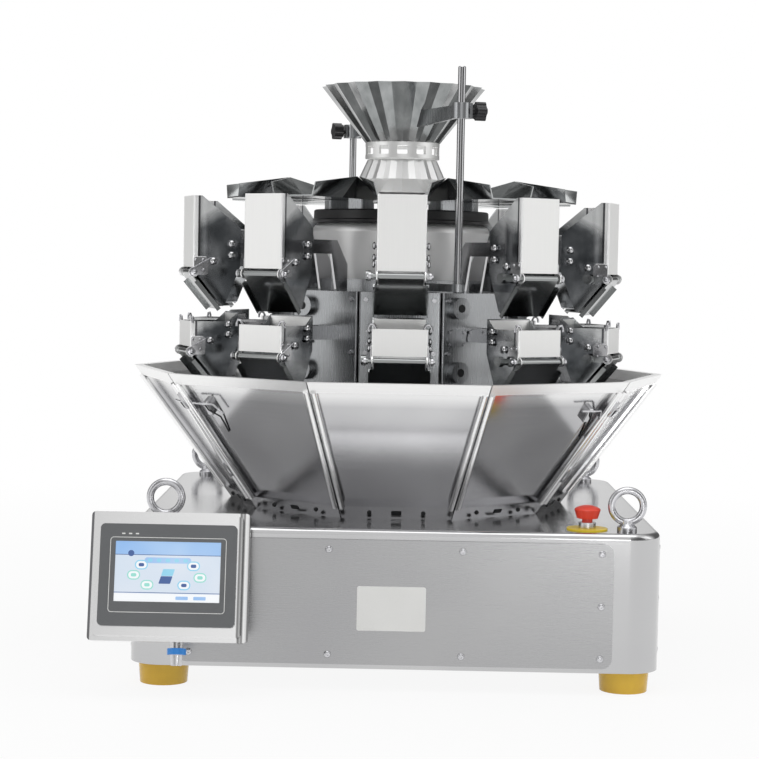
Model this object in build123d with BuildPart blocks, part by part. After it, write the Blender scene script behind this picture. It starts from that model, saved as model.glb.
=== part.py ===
"""Multihead weigher, ten heads, for portioning dry goods into bags.

Everything is drawn about the machine's upright axis, front towards -Y, feet on Z = 0, in millimetres.
A head's own pieces are drawn along +X, where X is the distance from the machine's axis, and are then
turned to their place in the ring.
"""
import os
from math import cos, radians, sin, tan

from build123d import *

# Heads
HEADS = 10
HEAD_STEP = 360 / HEADS
FRONT = -90
HALF_STEP = HEAD_STEP / 2

# Sheet and clearances
SHEET = 2.0
GATE_GAP = 5.0
PIN_FIT = 0.1
SEAT = 0.3

# Base housing
BASE_WIDTH = 800.0
BASE_DEPTH = 800.0
BASE_LOW = 34.0
BASE_HEIGHT = 210.0
BASE_TOP = BASE_LOW + BASE_HEIGHT
BASE_CORNER = 50.0
BASE_EDGE = 9.0
THROAT_TOP_R = 200.0
THROAT_LOW_R = 90.0

# Service panels on the four sides of the base
PANEL_INSET = 74.0
PANEL_HEIGHT = 188.0
PANEL_CORNER = 16.0
PANEL_SHEET = 4.0
PANEL_RAISE = 7.0

# Feet and lifting eyes, one of each over the other
CORNER_INSET = 50.0
CORNER_X = BASE_WIDTH / 2 - CORNER_INSET
CORNER_Y = BASE_DEPTH / 2 - CORNER_INSET
FOOT_R = 38.5
FOOT_TAPER = 2.5
EYE_RING_R = 24.0
EYE_WIRE_R = 5.6
EYE_COLLAR_R = 15.0
EYE_COLLAR_HEIGHT = 10.0
EYE_NECK_R = 9.0

# Emergency stop
STOP_SIDE_INSET = 110.0
STOP_FRONT_INSET = 55.0
STOP_X = BASE_WIDTH / 2 - STOP_SIDE_INSET
STOP_Y = STOP_FRONT_INSET - BASE_DEPTH / 2
STOP_DISC_R = 31.0
STOP_DISC = 2.0
STOP_COLLAR_R = 13.0
STOP_COLLAR_HEIGHT = 9.0
STOP_HEAD_R = 20.0
STOP_HEAD_HEIGHT = 20.0
STOP_HEAD_LOW_R = 16.0
STOP_BRIM = 13.0
STOP_DOME = 5.0
STOP_DOME_EDGE_R = 18.5
STOP_STEM_R = 8.0
STOP_TRAVEL = 5.0
STOP_LIFT = 6.0

# Control box
BOX_SIDE_INSET = 67.0
BOX_STANDOFF = 70.0
BOX_X = BOX_SIDE_INSET - BASE_WIDTH / 2
BOX_Y = -BASE_DEPTH / 2 - BOX_STANDOFF
BOX_Z = 180.0
BOX_TILT = 14.0
BOX_WIDTH = 234.0
BOX_HEIGHT = 190.0
BOX_BACK = 27.0
BOX_DOOR_WIDTH = 217.0
BOX_DOOR_HEIGHT = 178.0
BOX_DOOR = 18.0
BOX_TAPER = 4
BOX_ROUND = 6.0
BEZEL_WIDTH = 200.0
BEZEL_HEIGHT = 149.0
BEZEL = 6.0
BEZEL_ROUND = 7.0
DISPLAY_WIDTH = 154.0
DISPLAY_HEIGHT = 88.0
DISPLAY_SINK = 1.5
DISPLAY_LIFT = 5.0
BRACKET_WIDTH = 90.0
BRACKET_LOW_Z = 110.0
BRACKET_HIGH_Z = 200.0
GLAND_X = 14.0
GLAND_R = 14.0
GLAND_NECK_R = 10.0
GLAND_NECK = 9.0
GLAND_RING = 9.0
GLAND_CAP = 16.0
GLAND_TAPER = 8

# Column, its legs and the drum above it
COLUMN_R = 132.0
COLUMN_LOW_Z = 330.0
COLUMN_TOP_Z = 615.0
LEG_COUNT = 5
LEG_SHEET = 10.0
LEG_TOP_Z = 400.0
LEG_SHOULDER = 26.0
LEG_FOOT_IN_R = 208.0
LEG_FOOT_OUT_R = 238.0
LEG_TOE = 18.0
DRUM_LOW_R = 132.0
DRUM_TOP_R = 148.0
DRUM_TOP_Z = 707.0
DRUM_ROUND = 14.0

# Feeder pans and what shakes them
PAN_FLOOR_Z = 746.0
PAN_IN_R = 100.0
PAN_RIDGE_R = 215.0
PAN_LIP_R = 290.0
PAN_IN_HALF = 20.0
PAN_RIDGE_HALF = 40.0
PAN_LIP_HALF = 38.5
PAN_IN_WALL = 4.0
PAN_RIDGE_WALL = 31.0
PAN_LIP_WALL = 20.0
PAN_LIP_FLARE = 6.5
PAN_SEAM = 1.5
SHAKER_IN_R = 98.0
SHAKER_OUT_R = 130.0
SHAKER_WIDTH = 30.0
SHAKER_ROUND = 3.0

# Dispersion cone, fluted
FLUTES = 20
FLUTE_SHARE = 0.05
CONE_TOP_R = 58.0
CONE_TOP_Z = 814.0
CONE_WAIST_R = 73.0
CONE_WAIST_Z = 781.0
CONE_LOW_R = 116.0
CONE_LOW_Z = 757.0
CONE_POST_R = 40.0

# Infeed funnel, its neck, rods and arms
INFEED_TOP_R = 136.0
INFEED_TOP_Z = 934.0
INFEED_LOW_R = 62.0
INFEED_LOW_Z = 842.0
NECK_HEIGHT = 26.0
NECK_WALL = 5.0
NECK_WINDOWS = 12
NECK_WINDOW_WIDTH = 18.0
NECK_WINDOW_HEIGHT = 14.0
NECK_WINDOW_ROUND = 2.0
ROD_AZIMUTH = 18.0
ROD_RING_R = 285.0
ROD_R = 6.0
ROD_LOW_Z = 611.0
ROD_TOP_Z = 946.0
ROD_CHAMFER = 1.0
ROD_ARM_WIDTH = 22.0
ROD_ARM_HEIGHT = 12.0
CLAMP_Z = 878.0
CLAMP_R = 14.0
CLAMP_HEIGHT = 24.0
CLAMP_BOSS = 2.0
ARM_SHEET = 6.0
ARM_HIGH = 26.0
ARM_LOW = 20.0
KNOB_R = 15.0
KNOB_LOBES = 5
KNOB_LOBE_R = 5.5
KNOB_LENGTH = 16.0
KNOB_STEM_R = 5.0
KNOB_STEM = 6.0

# Feed hoppers, the upper ring
FEED_FACE_R = 363.0
FEED_REACH = 78.0
FEED_WIDTH = 75.0
FEED_TOP_Z = 745.0
FEED_BACK_Z = 694.0
FEED_LIP = 14.0
FEED_HINGE_Z = 622.0

# Weigh hoppers, the lower ring
WEIGH_FACE_R = 367.0
WEIGH_REACH = 78.0
WEIGH_WIDTH = 85.0
WEIGH_TOP_Z = 543.0
WEIGH_BACK_Z = 558.0
WEIGH_LIP = 62.0
WEIGH_HINGE_Z = 494.0

# Shape shared by both kinds of hopper and their gates
HOPPER_BEND = 3.0
HOPPER_WAIST = 10.0
HOPPER_FOOT = 5.0
HINGE_IN = 1.0
HINGE_EAR_R = 8.0
PIN_R = 3.0
GATE_ROLL_R = 5.0
GATE_SLANT = 40.0
GATE_LENGTH = 73.0
GATE_NECK = 13.0
GATE_HEM = 5.0
GATE_OVERHANG = 4.5
GATE_SIDE_RUN = 1.5
CRANK_LENGTH = 30.0
CRANK_WIDTH = 10.0
CRANK_SHEET = 3.0
CRANK_OUT = 5.0
ROLLER_R = 8.0
ROLLER_LENGTH = 8.0

# Collecting funnel, ten panels round the column, with its rim outside the weigh hoppers
RIM_MARGIN = 63.0
RIM_R = WEIGH_FACE_R + RIM_MARGIN
RIM_Z = 464.0
FUNNEL_LOW_R = 264.0
FUNNEL_SHEET = 2.5
FUNNEL_FLANGE = 14.0
FUNNEL_SEAM = 1.0
FUNNEL_BAND = 17.0
FUNNEL_SKIRT = 20.0

# Drive units behind the hoppers, and the hangers that carry the hoppers
DRIVE_OUT_R = 205.0
DRIVE_SEAM = 1.0
DRIVE_LOW_Z = 400.0
DRIVE_TOP_Z = 596.0
DRIVE_EDGE = 3.0
COVER_OFF = 38.0
COVER_Z = 524.0
COVER_WIDTH = 36.0
COVER_HEIGHT = 29.0
COVER_SHEET = 2.0
SHAFT_R = 17.0
SHAFT_OUT = 12.0
SHAFT_OFF = 36.0
SHAFT_UP_Z = 572.0
SHAFT_LOW_Z = 470.0
HANGER_SHEET = 4.0
HANGER_WIDTH = 36.0
HANGER_PLATE = 40.0
HANGER_PLATE_Z = 666.0
HANGER_ROOT_R = 170.0
HANGER_ROOT_OUT_R = 198.0
HANGER_KNEE_R = 212.0
HANGER_KNEE_Z = 655.0
HANGER_DEPTH = 22.0
HANGER_RISE = 32.0
WEIGH_ARM_Z = 530.0

pieces = []


def keep(builder, label):
    """Labels a finished piece and puts it in the list that is written at the end."""
    builder.part.label = label
    pieces.append(builder.part)


def turned(azimuth):
    """The turn that brings a piece drawn along +X to its azimuth, counted from the machine's front."""
    return Rotation(0, 0, FRONT + azimuth)


def fluted(plane, ridge_r):
    """A closed outline of equal flutes whose ridges lie on a circle."""
    points = []
    for number in range(FLUTES):
        ridge = radians(360 / FLUTES * number)
        valley = radians(360 / FLUTES * (number + 0.5))
        valley_r = ridge_r * (1 - FLUTE_SHARE)
        points.append((ridge_r * cos(ridge), ridge_r * sin(ridge)))
        points.append((valley_r * cos(valley), valley_r * sin(valley)))
    with BuildSketch(plane) as outline:
        Polygon(*points, align=None)
    return outline.sketch


# Base housing: a rounded box with a round throat that leads the goods down and out
with BuildPart() as base_housing:
    with BuildSketch(Plane.XY.offset(BASE_LOW)):
        RectangleRounded(BASE_WIDTH, BASE_DEPTH, BASE_CORNER)
    extrude(amount=BASE_HEIGHT)
    fillet(base_housing.faces().sort_by(Axis.Z)[-1].edges(), BASE_EDGE)
    with BuildSketch(Plane.XY.offset(BASE_LOW)):
        Circle(THROAT_LOW_R)
    with BuildSketch(Plane.XY.offset(BASE_TOP)):
        Circle(THROAT_TOP_R)
    loft(mode=Mode.SUBTRACT)
keep(base_housing, "base_housing")

# Service panels: one raised plate with round corners on each side
PANEL_MID_Z = BASE_LOW + PANEL_RAISE + PANEL_HEIGHT / 2
with BuildPart() as service_panels:
    for turn in range(0, 360, 90):
        reach, side = (BASE_DEPTH, BASE_WIDTH) if turn % 180 == 0 else (BASE_WIDTH, BASE_DEPTH)
        outward = Vector(sin(radians(turn)), -cos(radians(turn)), 0)
        along = Vector(cos(radians(turn)), sin(radians(turn)), 0)
        seat = Plane(origin=outward * (reach / 2) + Vector(0, 0, PANEL_MID_Z), x_dir=along, z_dir=outward)
        with BuildSketch(seat):
            RectangleRounded(side - 2 * PANEL_INSET, PANEL_HEIGHT, PANEL_CORNER)
        extrude(amount=PANEL_SHEET)
keep(service_panels, "service_panels")

# Feet: four tapered pads, each turned from its own outline
with BuildPart() as foot:
    with BuildSketch(Plane.XZ):
        Polygon((0, 0), (FOOT_R - FOOT_TAPER, 0), (FOOT_R, BASE_LOW), (0, BASE_LOW), align=None)
    revolve(axis=Axis.Z)
with BuildPart() as feet:
    with GridLocations(2 * CORNER_X, 2 * CORNER_Y, 2, 2):
        add(foot.part)
keep(feet, "feet")

# Lifting eyes: a ring of round bar on a coned collar
EYE_MID = EYE_COLLAR_HEIGHT + EYE_RING_R + EYE_WIRE_R / 2
with BuildPart() as eye:
    with BuildSketch(Plane.XZ):
        Polygon(
            (0, 0), (EYE_COLLAR_R, 0), (EYE_COLLAR_R, EYE_COLLAR_HEIGHT / 2), (EYE_NECK_R, EYE_COLLAR_HEIGHT),
            (EYE_NECK_R, EYE_COLLAR_HEIGHT + EYE_WIRE_R), (0, EYE_COLLAR_HEIGHT + EYE_WIRE_R), align=None,
        )
    revolve(axis=Axis.Z)
    with BuildSketch(Plane.XY.offset(EYE_MID)):
        with Locations((EYE_RING_R, 0)):
            Circle(EYE_WIRE_R)
    revolve(axis=Axis((0, 0, EYE_MID), (0, 1, 0)))
with BuildPart() as lifting_eyes:
    with Locations((0, 0, BASE_TOP)):
        with GridLocations(2 * CORNER_X, 2 * CORNER_Y, 2, 2):
            add(eye.part)
keep(lifting_eyes, "lifting_eyes")

# Emergency stop: a flat disc and a collar, and the mushroom head that is pushed down into them
with BuildPart() as stop_collar:
    with BuildSketch(Plane.XY.offset(BASE_TOP)):
        with Locations((STOP_X, STOP_Y)):
            Circle(STOP_DISC_R)
    extrude(amount=STOP_DISC)
    with BuildSketch(Plane.XY.offset(BASE_TOP + STOP_DISC)):
        with Locations((STOP_X, STOP_Y)):
            Circle(STOP_COLLAR_R)
    extrude(amount=STOP_COLLAR_HEIGHT)
    with BuildSketch(Plane.XY.offset(BASE_TOP + STOP_DISC / 2)):
        with Locations((STOP_X, STOP_Y)):
            Circle(STOP_STEM_R + SEAT)
    extrude(amount=STOP_DISC + STOP_COLLAR_HEIGHT, mode=Mode.SUBTRACT)
keep(stop_collar, "stop_collar")

STOP_HEAD_LOW = STOP_DISC + STOP_COLLAR_HEIGHT + STOP_LIFT
STOP_STEM_LOW = STOP_DISC / 2 + STOP_TRAVEL + SEAT
STOP_TOP = STOP_HEAD_LOW + STOP_HEAD_HEIGHT
with BuildPart() as stop_head:
    with BuildSketch(Plane.XZ):
        with BuildLine():
            Polyline(
                (0, STOP_STEM_LOW), (STOP_STEM_R, STOP_STEM_LOW), (STOP_STEM_R, STOP_HEAD_LOW),
                (STOP_HEAD_LOW_R, STOP_HEAD_LOW), (STOP_HEAD_R, STOP_HEAD_LOW + STOP_BRIM),
                (STOP_DOME_EDGE_R, STOP_TOP - STOP_DOME),
            )
            TangentArc((0, STOP_TOP), (STOP_DOME_EDGE_R, STOP_TOP - STOP_DOME), tangent=(1, 0))
            Line((0, STOP_TOP), (0, STOP_STEM_LOW))
        make_face()
    revolve(axis=Axis.Z)
with BuildPart() as stop_button:
    with Locations((STOP_X, STOP_Y, BASE_TOP)):
        add(stop_head.part)
keep(stop_button, "stop_button")

# Control box: leans back, its door stands proud of the body
TILT_SIN = sin(radians(BOX_TILT))
TILT_COS = cos(radians(BOX_TILT))
DOOR_FACE = Plane(origin=(BOX_X, BOX_Y, BOX_Z), x_dir=(1, 0, 0), z_dir=(0, -TILT_COS, TILT_SIN))
with BuildPart() as control_box:
    with BuildSketch(DOOR_FACE.offset(-BOX_DOOR)):
        RectangleRounded(BOX_WIDTH, BOX_HEIGHT, BOX_ROUND)
    extrude(amount=-BOX_BACK)
    with BuildSketch(DOOR_FACE.offset(-BOX_DOOR)):
        RectangleRounded(BOX_DOOR_WIDTH, BOX_DOOR_HEIGHT, BOX_ROUND)
    extrude(amount=BOX_DOOR, taper=BOX_TAPER)
keep(control_box, "control_box")

with BuildPart() as touch_screen:
    with BuildSketch(DOOR_FACE):
        RectangleRounded(BEZEL_WIDTH, BEZEL_HEIGHT, BEZEL_ROUND)
    extrude(amount=BEZEL)
    with BuildSketch(DOOR_FACE.offset(BEZEL)):
        with Locations((0, DISPLAY_LIFT)):
            Rectangle(DISPLAY_WIDTH, DISPLAY_HEIGHT)
    extrude(amount=-DISPLAY_SINK, mode=Mode.SUBTRACT)
keep(touch_screen, "touch_screen")

# Bracket: a wedge that fills the lean between the base's front and the box's back
BOX_DEPTH = BOX_DOOR + BOX_BACK


def box_back_y(height):
    """Where the leaning back of the control box is, at a height above the floor."""
    middle_y = BOX_Y + BOX_DEPTH * TILT_COS
    middle_z = BOX_Z - BOX_DEPTH * TILT_SIN
    return middle_y + (height - middle_z) * TILT_SIN / TILT_COS


with BuildPart() as control_bracket:
    with BuildSketch(Plane.YZ.offset(BOX_X)):
        Polygon(
            (-BASE_DEPTH / 2, BRACKET_LOW_Z), (-BASE_DEPTH / 2, BRACKET_HIGH_Z),
            (box_back_y(BRACKET_HIGH_Z), BRACKET_HIGH_Z), (box_back_y(BRACKET_LOW_Z), BRACKET_LOW_Z), align=None,
        )
    extrude(amount=BRACKET_WIDTH / 2, both=True)
    with BuildSketch(Plane.XZ.offset(BASE_DEPTH / 2)):
        with Locations((0, PANEL_MID_Z)):
            RectangleRounded(BASE_WIDTH - 2 * (PANEL_INSET - SEAT), PANEL_HEIGHT + 2 * SEAT, PANEL_CORNER)
    extrude(amount=PANEL_SHEET, mode=Mode.SUBTRACT)
keep(control_bracket, "control_bracket")

# Cable gland under the control box: a neck, a wider coloured ring and a coned cap
GLAND_DOWN = -DOOR_FACE.y_dir
GLAND_TOP = DOOR_FACE.offset(-BOX_DOOR - BOX_BACK / 2).from_local_coords((GLAND_X, -BOX_HEIGHT / 2, 0))
with BuildPart() as cable_gland:
    with BuildSketch(Plane(origin=GLAND_TOP, x_dir=(1, 0, 0), z_dir=GLAND_DOWN)):
        Circle(GLAND_NECK_R)
    extrude(amount=GLAND_NECK)
    with BuildSketch(Plane(origin=GLAND_TOP + GLAND_DOWN * GLAND_NECK, x_dir=(1, 0, 0), z_dir=GLAND_DOWN)):
        Circle(GLAND_R)
    extrude(amount=GLAND_RING)
    with BuildSketch(Plane(
            origin=GLAND_TOP + GLAND_DOWN * (GLAND_NECK + GLAND_RING), x_dir=(1, 0, 0), z_dir=GLAND_DOWN)):
        Circle(GLAND_NECK_R)
    extrude(amount=GLAND_CAP, taper=GLAND_TAPER)
keep(cable_gland, "cable_gland")

# Collecting funnel: each panel is a shallow tray that opens outward, with a band at its top, a skirt at
# its foot and a flange down each side
FUNNEL_APOTHEM = cos(radians(HALF_STEP))
RIM_FLAT = RIM_R * FUNNEL_APOTHEM
FUNNEL_LOW_FLAT = FUNNEL_LOW_R * FUNNEL_APOTHEM
FUNNEL_SLOPE = (RIM_FLAT - FUNNEL_LOW_FLAT) / (RIM_Z - BASE_TOP)


def funnel_flat(height):
    """How far the inner face of a funnel panel is from the axis, at a height above the floor."""
    return FUNNEL_LOW_FLAT + (height - BASE_TOP) * FUNNEL_SLOPE


def sector(half_angle, seam):
    """A wedge-shaped outline about +X, as wide as one panel, less a seam at each side."""
    reach = 2 * RIM_R
    start = seam / sin(radians(half_angle))
    rise = (reach - start) * tan(radians(half_angle))
    with BuildSketch() as wedge:
        Polygon((start, 0), (reach, rise), (reach, -rise), align=None)
    return wedge.sketch


def funnel_wall(low_z, high_z, inset, depth, seam):
    """A slanting slab as wide as one panel: inset and depth are how far its faces lie outside the panel's."""
    with BuildPart() as wall:
        with BuildSketch(Plane.XZ):
            Polygon(
                (funnel_flat(low_z) + inset, low_z), (funnel_flat(high_z) + inset, high_z),
                (funnel_flat(high_z) + depth, high_z), (funnel_flat(low_z) + depth, low_z), align=None,
            )
        extrude(amount=RIM_R, both=True)
        add(sector(HALF_STEP, seam))
        extrude(amount=RIM_Z, both=True, mode=Mode.INTERSECT)
    return wall.part


with BuildPart() as funnel_panel:
    add(funnel_wall(BASE_TOP, RIM_Z, 0, FUNNEL_FLANGE, FUNNEL_SEAM))
    add(
        funnel_wall(
            BASE_TOP + FUNNEL_SKIRT, RIM_Z - FUNNEL_BAND, FUNNEL_SHEET, RIM_R, FUNNEL_SEAM + FUNNEL_SHEET),
        mode=Mode.SUBTRACT,
    )
with BuildPart() as collecting_funnel:
    for head in range(HEADS):
        with Locations(turned(head * HEAD_STEP)):
            add(funnel_panel.part)
keep(collecting_funnel, "collecting_funnel")


# Column: a ten-sided post, one side behind each head, with arms out to the two rods
COLUMN_FLAT = COLUMN_R * cos(radians(HALF_STEP))
ROD_TURNS = (ROD_AZIMUTH, ROD_AZIMUTH + 180)
with BuildPart() as rod_arm:
    with BuildSketch(Plane.XY.offset(ROD_LOW_Z - ROD_ARM_HEIGHT)):
        with Locations((COLUMN_FLAT, 0)):
            Rectangle(ROD_RING_R - COLUMN_FLAT, ROD_ARM_WIDTH, align=(Align.MIN, Align.CENTER))
        with Locations((ROD_RING_R, 0)):
            Circle(ROD_ARM_WIDTH / 2)
    extrude(amount=ROD_ARM_HEIGHT)
with BuildPart() as column:
    corners = [radians(FRONT + HALF_STEP + head * HEAD_STEP) for head in range(HEADS)]
    with BuildSketch(Plane.XY.offset(COLUMN_LOW_Z)):
        Polygon(*[(COLUMN_R * cos(corner), COLUMN_R * sin(corner)) for corner in corners], align=None)
    extrude(amount=COLUMN_TOP_Z - COLUMN_LOW_Z)
    for azimuth in ROD_TURNS:
        with Locations(turned(azimuth)):
            add(rod_arm.part)
keep(column, "column")

# Support legs: upright blades that carry the column over the throat, notched round its corners
with BuildPart() as leg:
    with BuildSketch(Plane.XZ):
        Polygon(
            (COLUMN_FLAT, COLUMN_LOW_Z), (COLUMN_FLAT, LEG_TOP_Z), (COLUMN_FLAT + LEG_SHOULDER, LEG_TOP_Z),
            (LEG_FOOT_OUT_R, BASE_TOP + LEG_TOE), (LEG_FOOT_OUT_R, BASE_TOP), (LEG_FOOT_IN_R, BASE_TOP),
            align=None,
        )
    extrude(amount=LEG_SHEET / 2, both=True)
with BuildPart() as support_legs:
    for number in range(LEG_COUNT):
        with Locations(turned(HALF_STEP + number * 360 / LEG_COUNT)):
            add(leg.part)
    add(column.part, mode=Mode.SUBTRACT)
keep(support_legs, "support_legs")

# Drum: the round housing that holds the shakers
with BuildPart() as drum:
    with BuildSketch(Plane.XZ):
        with BuildLine():
            Polyline(
                (0, DRUM_TOP_Z), (0, COLUMN_TOP_Z), (DRUM_LOW_R, COLUMN_TOP_Z),
                (DRUM_TOP_R, DRUM_TOP_Z - DRUM_ROUND),
            )
            RadiusArc(
                (DRUM_TOP_R, DRUM_TOP_Z - DRUM_ROUND), (DRUM_TOP_R - DRUM_ROUND, DRUM_TOP_Z), -DRUM_ROUND)
            Line((DRUM_TOP_R - DRUM_ROUND, DRUM_TOP_Z), (0, DRUM_TOP_Z))
        make_face()
    revolve(axis=Axis.Z)
keep(drum, "drum")

# Shakers: one block under each pan, standing on the drum
with BuildPart() as shaker:
    with BuildSketch(Plane.XY.offset(DRUM_TOP_Z)):
        with Locations(((SHAKER_IN_R + SHAKER_OUT_R) / 2, 0)):
            RectangleRounded(SHAKER_OUT_R - SHAKER_IN_R, SHAKER_WIDTH, SHAKER_ROUND)
    extrude(amount=PAN_FLOOR_Z - SHEET - DRUM_TOP_Z)
with BuildPart() as shakers:
    for head in range(HEADS):
        with Locations(turned(head * HEAD_STEP)):
            add(shaker.part)
keep(shakers, "shakers")


# Feeder pans: a flat floor and two walls that rise to a shared ridge, then fall to the lip
def pan_section(reach, floor_half, top_half, wall, inset):
    """The pan's section across its run: the outer shape, or the space inside it when inset is not 0."""
    floor_z = PAN_FLOOR_Z if inset else PAN_FLOOR_Z - SHEET
    top_z = PAN_FLOOR_Z + wall
    spread = (top_half - floor_half) / wall
    over = SHEET if inset else 0
    with BuildSketch(Plane(origin=(reach, 0, 0), x_dir=(0, 1, 0), z_dir=(1, 0, 0))) as section:
        Polygon(
            (-floor_half + inset, floor_z), (floor_half - inset, floor_z),
            (top_half - inset + spread * over, top_z + over), (-top_half + inset - spread * over, top_z + over),
            align=None,
        )
    return section.sketch


PAN_STATIONS = (
    (PAN_IN_R, PAN_IN_HALF, PAN_IN_R * tan(radians(HALF_STEP)) - PAN_SEAM, PAN_IN_WALL),
    (PAN_RIDGE_R, PAN_RIDGE_HALF, PAN_RIDGE_R * tan(radians(HALF_STEP)) - PAN_SEAM, PAN_RIDGE_WALL),
    (PAN_LIP_R, PAN_LIP_HALF, PAN_LIP_HALF + PAN_LIP_FLARE, PAN_LIP_WALL),
)
with BuildPart() as pan:
    for station in PAN_STATIONS:
        add(pan_section(*station, 0))
    loft(ruled=True)
    for station in PAN_STATIONS:
        add(pan_section(*station, SHEET))
    loft(ruled=True, mode=Mode.SUBTRACT)
with BuildPart() as feeder_pans:
    for head in range(HEADS):
        with Locations(turned(head * HEAD_STEP)):
            add(pan.part)
keep(feeder_pans, "feeder_pans")

# Dispersion cone: a fluted bell on a round post
with BuildPart() as dispersion_cone:
    for height, ridge_r in ((CONE_LOW_Z, CONE_LOW_R), (CONE_WAIST_Z, CONE_WAIST_R), (CONE_TOP_Z, CONE_TOP_R)):
        add(fluted(Plane.XY.offset(height), ridge_r))
    loft(ruled=True)
    with BuildSketch(Plane.XY.offset(DRUM_TOP_Z)):
        Circle(CONE_POST_R)
    extrude(amount=CONE_LOW_Z - DRUM_TOP_Z)
keep(dispersion_cone, "dispersion_cone")

# Infeed funnel: a fluted cone of sheet on a ring of windows
INFEED_SPREAD = (INFEED_TOP_R - INFEED_LOW_R) / (INFEED_TOP_Z - INFEED_LOW_Z)
with BuildPart() as infeed_funnel:
    add(fluted(Plane.XY.offset(INFEED_LOW_Z), INFEED_LOW_R))
    add(fluted(Plane.XY.offset(INFEED_TOP_Z), INFEED_TOP_R))
    loft(ruled=True)
    add(fluted(Plane.XY.offset(INFEED_LOW_Z), INFEED_LOW_R - SHEET))
    add(fluted(Plane.XY.offset(INFEED_TOP_Z), INFEED_TOP_R - SHEET))
    loft(ruled=True, mode=Mode.SUBTRACT)
    with BuildSketch(Plane.XY.offset(INFEED_LOW_Z - NECK_HEIGHT)):
        Circle(INFEED_LOW_R)
        Circle(INFEED_LOW_R - NECK_WALL, mode=Mode.SUBTRACT)
    extrude(amount=NECK_HEIGHT)
    for window in range(NECK_WINDOWS):
        outward = radians(FRONT + 360 / NECK_WINDOWS * window)
        normal = Vector(cos(outward), sin(outward), 0)
        wall = Plane(
            origin=normal * INFEED_LOW_R + Vector(0, 0, INFEED_LOW_Z - NECK_HEIGHT / 2),
            x_dir=(-sin(outward), cos(outward), 0), z_dir=normal,
        )
        with BuildSketch(wall):
            RectangleRounded(NECK_WINDOW_WIDTH, NECK_WINDOW_HEIGHT, NECK_WINDOW_ROUND)
        extrude(amount=NECK_WALL * 2, both=True, mode=Mode.SUBTRACT)
keep(infeed_funnel, "infeed_funnel")

# Rods: two upright bars that stand on the column's arms
with BuildPart() as rod:
    with BuildSketch(Plane.XY.offset(ROD_LOW_Z)):
        with Locations((ROD_RING_R, 0)):
            Circle(ROD_R)
    extrude(amount=ROD_TOP_Z - ROD_LOW_Z)
    chamfer(rod.faces().sort_by(Axis.Z)[-1].edges(), ROD_CHAMFER)
with BuildPart() as funnel_rods:
    for azimuth in ROD_TURNS:
        with Locations(turned(azimuth)):
            add(rod.part)
keep(funnel_rods, "funnel_rods")


def infeed_ridge(height):
    """How far the ridges of the infeed funnel are from the axis, at a height above the floor."""
    return INFEED_LOW_R + (height - INFEED_LOW_Z) * INFEED_SPREAD


# Funnel arms: a round clamp with a flat boss for its knob, and a blade that reaches the funnel
with BuildPart() as funnel_arm:
    with BuildSketch(Plane.XY.offset(CLAMP_Z - CLAMP_HEIGHT / 2)):
        with Locations((ROD_RING_R, 0)):
            Circle(CLAMP_R)
        with Locations((ROD_RING_R, CLAMP_R / 2 + CLAMP_BOSS / 2)):
            Rectangle(CLAMP_R, CLAMP_R + CLAMP_BOSS)
    extrude(amount=CLAMP_HEIGHT)
    with BuildSketch(Plane.XZ):
        Polygon(
            (ROD_RING_R, CLAMP_Z + ARM_LOW / 2),
            (infeed_ridge(CLAMP_Z + ARM_HIGH / 2) + SEAT, CLAMP_Z + ARM_HIGH / 2),
            (infeed_ridge(CLAMP_Z - ARM_HIGH / 2) + SEAT, CLAMP_Z - ARM_HIGH / 2),
            (ROD_RING_R, CLAMP_Z - ARM_LOW / 2), align=None,
        )
    extrude(amount=ARM_SHEET / 2, both=True)
    with BuildSketch(Plane.XY.offset(CLAMP_Z - CLAMP_HEIGHT / 2)):
        with Locations((ROD_RING_R, 0)):
            Circle(ROD_R + PIN_FIT)
    extrude(amount=CLAMP_HEIGHT, mode=Mode.SUBTRACT)
with BuildPart() as funnel_arms:
    for azimuth in ROD_TURNS:
        with Locations(turned(azimuth)):
            add(funnel_arm.part)
keep(funnel_arms, "funnel_arms")

# Knobs: a short stem and a star of five lobes
KNOB_FOOT = Plane(origin=(ROD_RING_R, CLAMP_R + CLAMP_BOSS, CLAMP_Z), x_dir=(1, 0, 0), z_dir=(0, 1, 0))
with BuildPart() as knob:
    with BuildSketch(KNOB_FOOT):
        Circle(KNOB_STEM_R)
    extrude(amount=KNOB_STEM)
    with BuildSketch(KNOB_FOOT.offset(KNOB_STEM)):
        Circle(KNOB_R - KNOB_LOBE_R / 2)
        with PolarLocations(KNOB_R - KNOB_LOBE_R, KNOB_LOBES):
            Circle(KNOB_LOBE_R)
    extrude(amount=KNOB_LENGTH)
with BuildPart() as knobs:
    for azimuth in ROD_TURNS:
        with Locations(turned(azimuth)):
            add(knob.part)
keep(knobs, "knobs")

# Where things are on a closed gate: along runs down the gate from its hinge, out is away from the hopper
SLANT_SIN = sin(radians(GATE_SLANT))
SLANT_COS = cos(radians(GATE_SLANT))
GATE_INNER = GATE_ROLL_R - SHEET
HOPPER_EDGE = GATE_INNER - GATE_GAP


def on_gate(hinge, along, out):
    """A point given in the closed gate's own frame, as distance from the machine's axis and height."""
    return (hinge[0] - along * SLANT_SIN + out * SLANT_COS, hinge[1] - along * SLANT_COS - out * SLANT_SIN)


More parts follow.
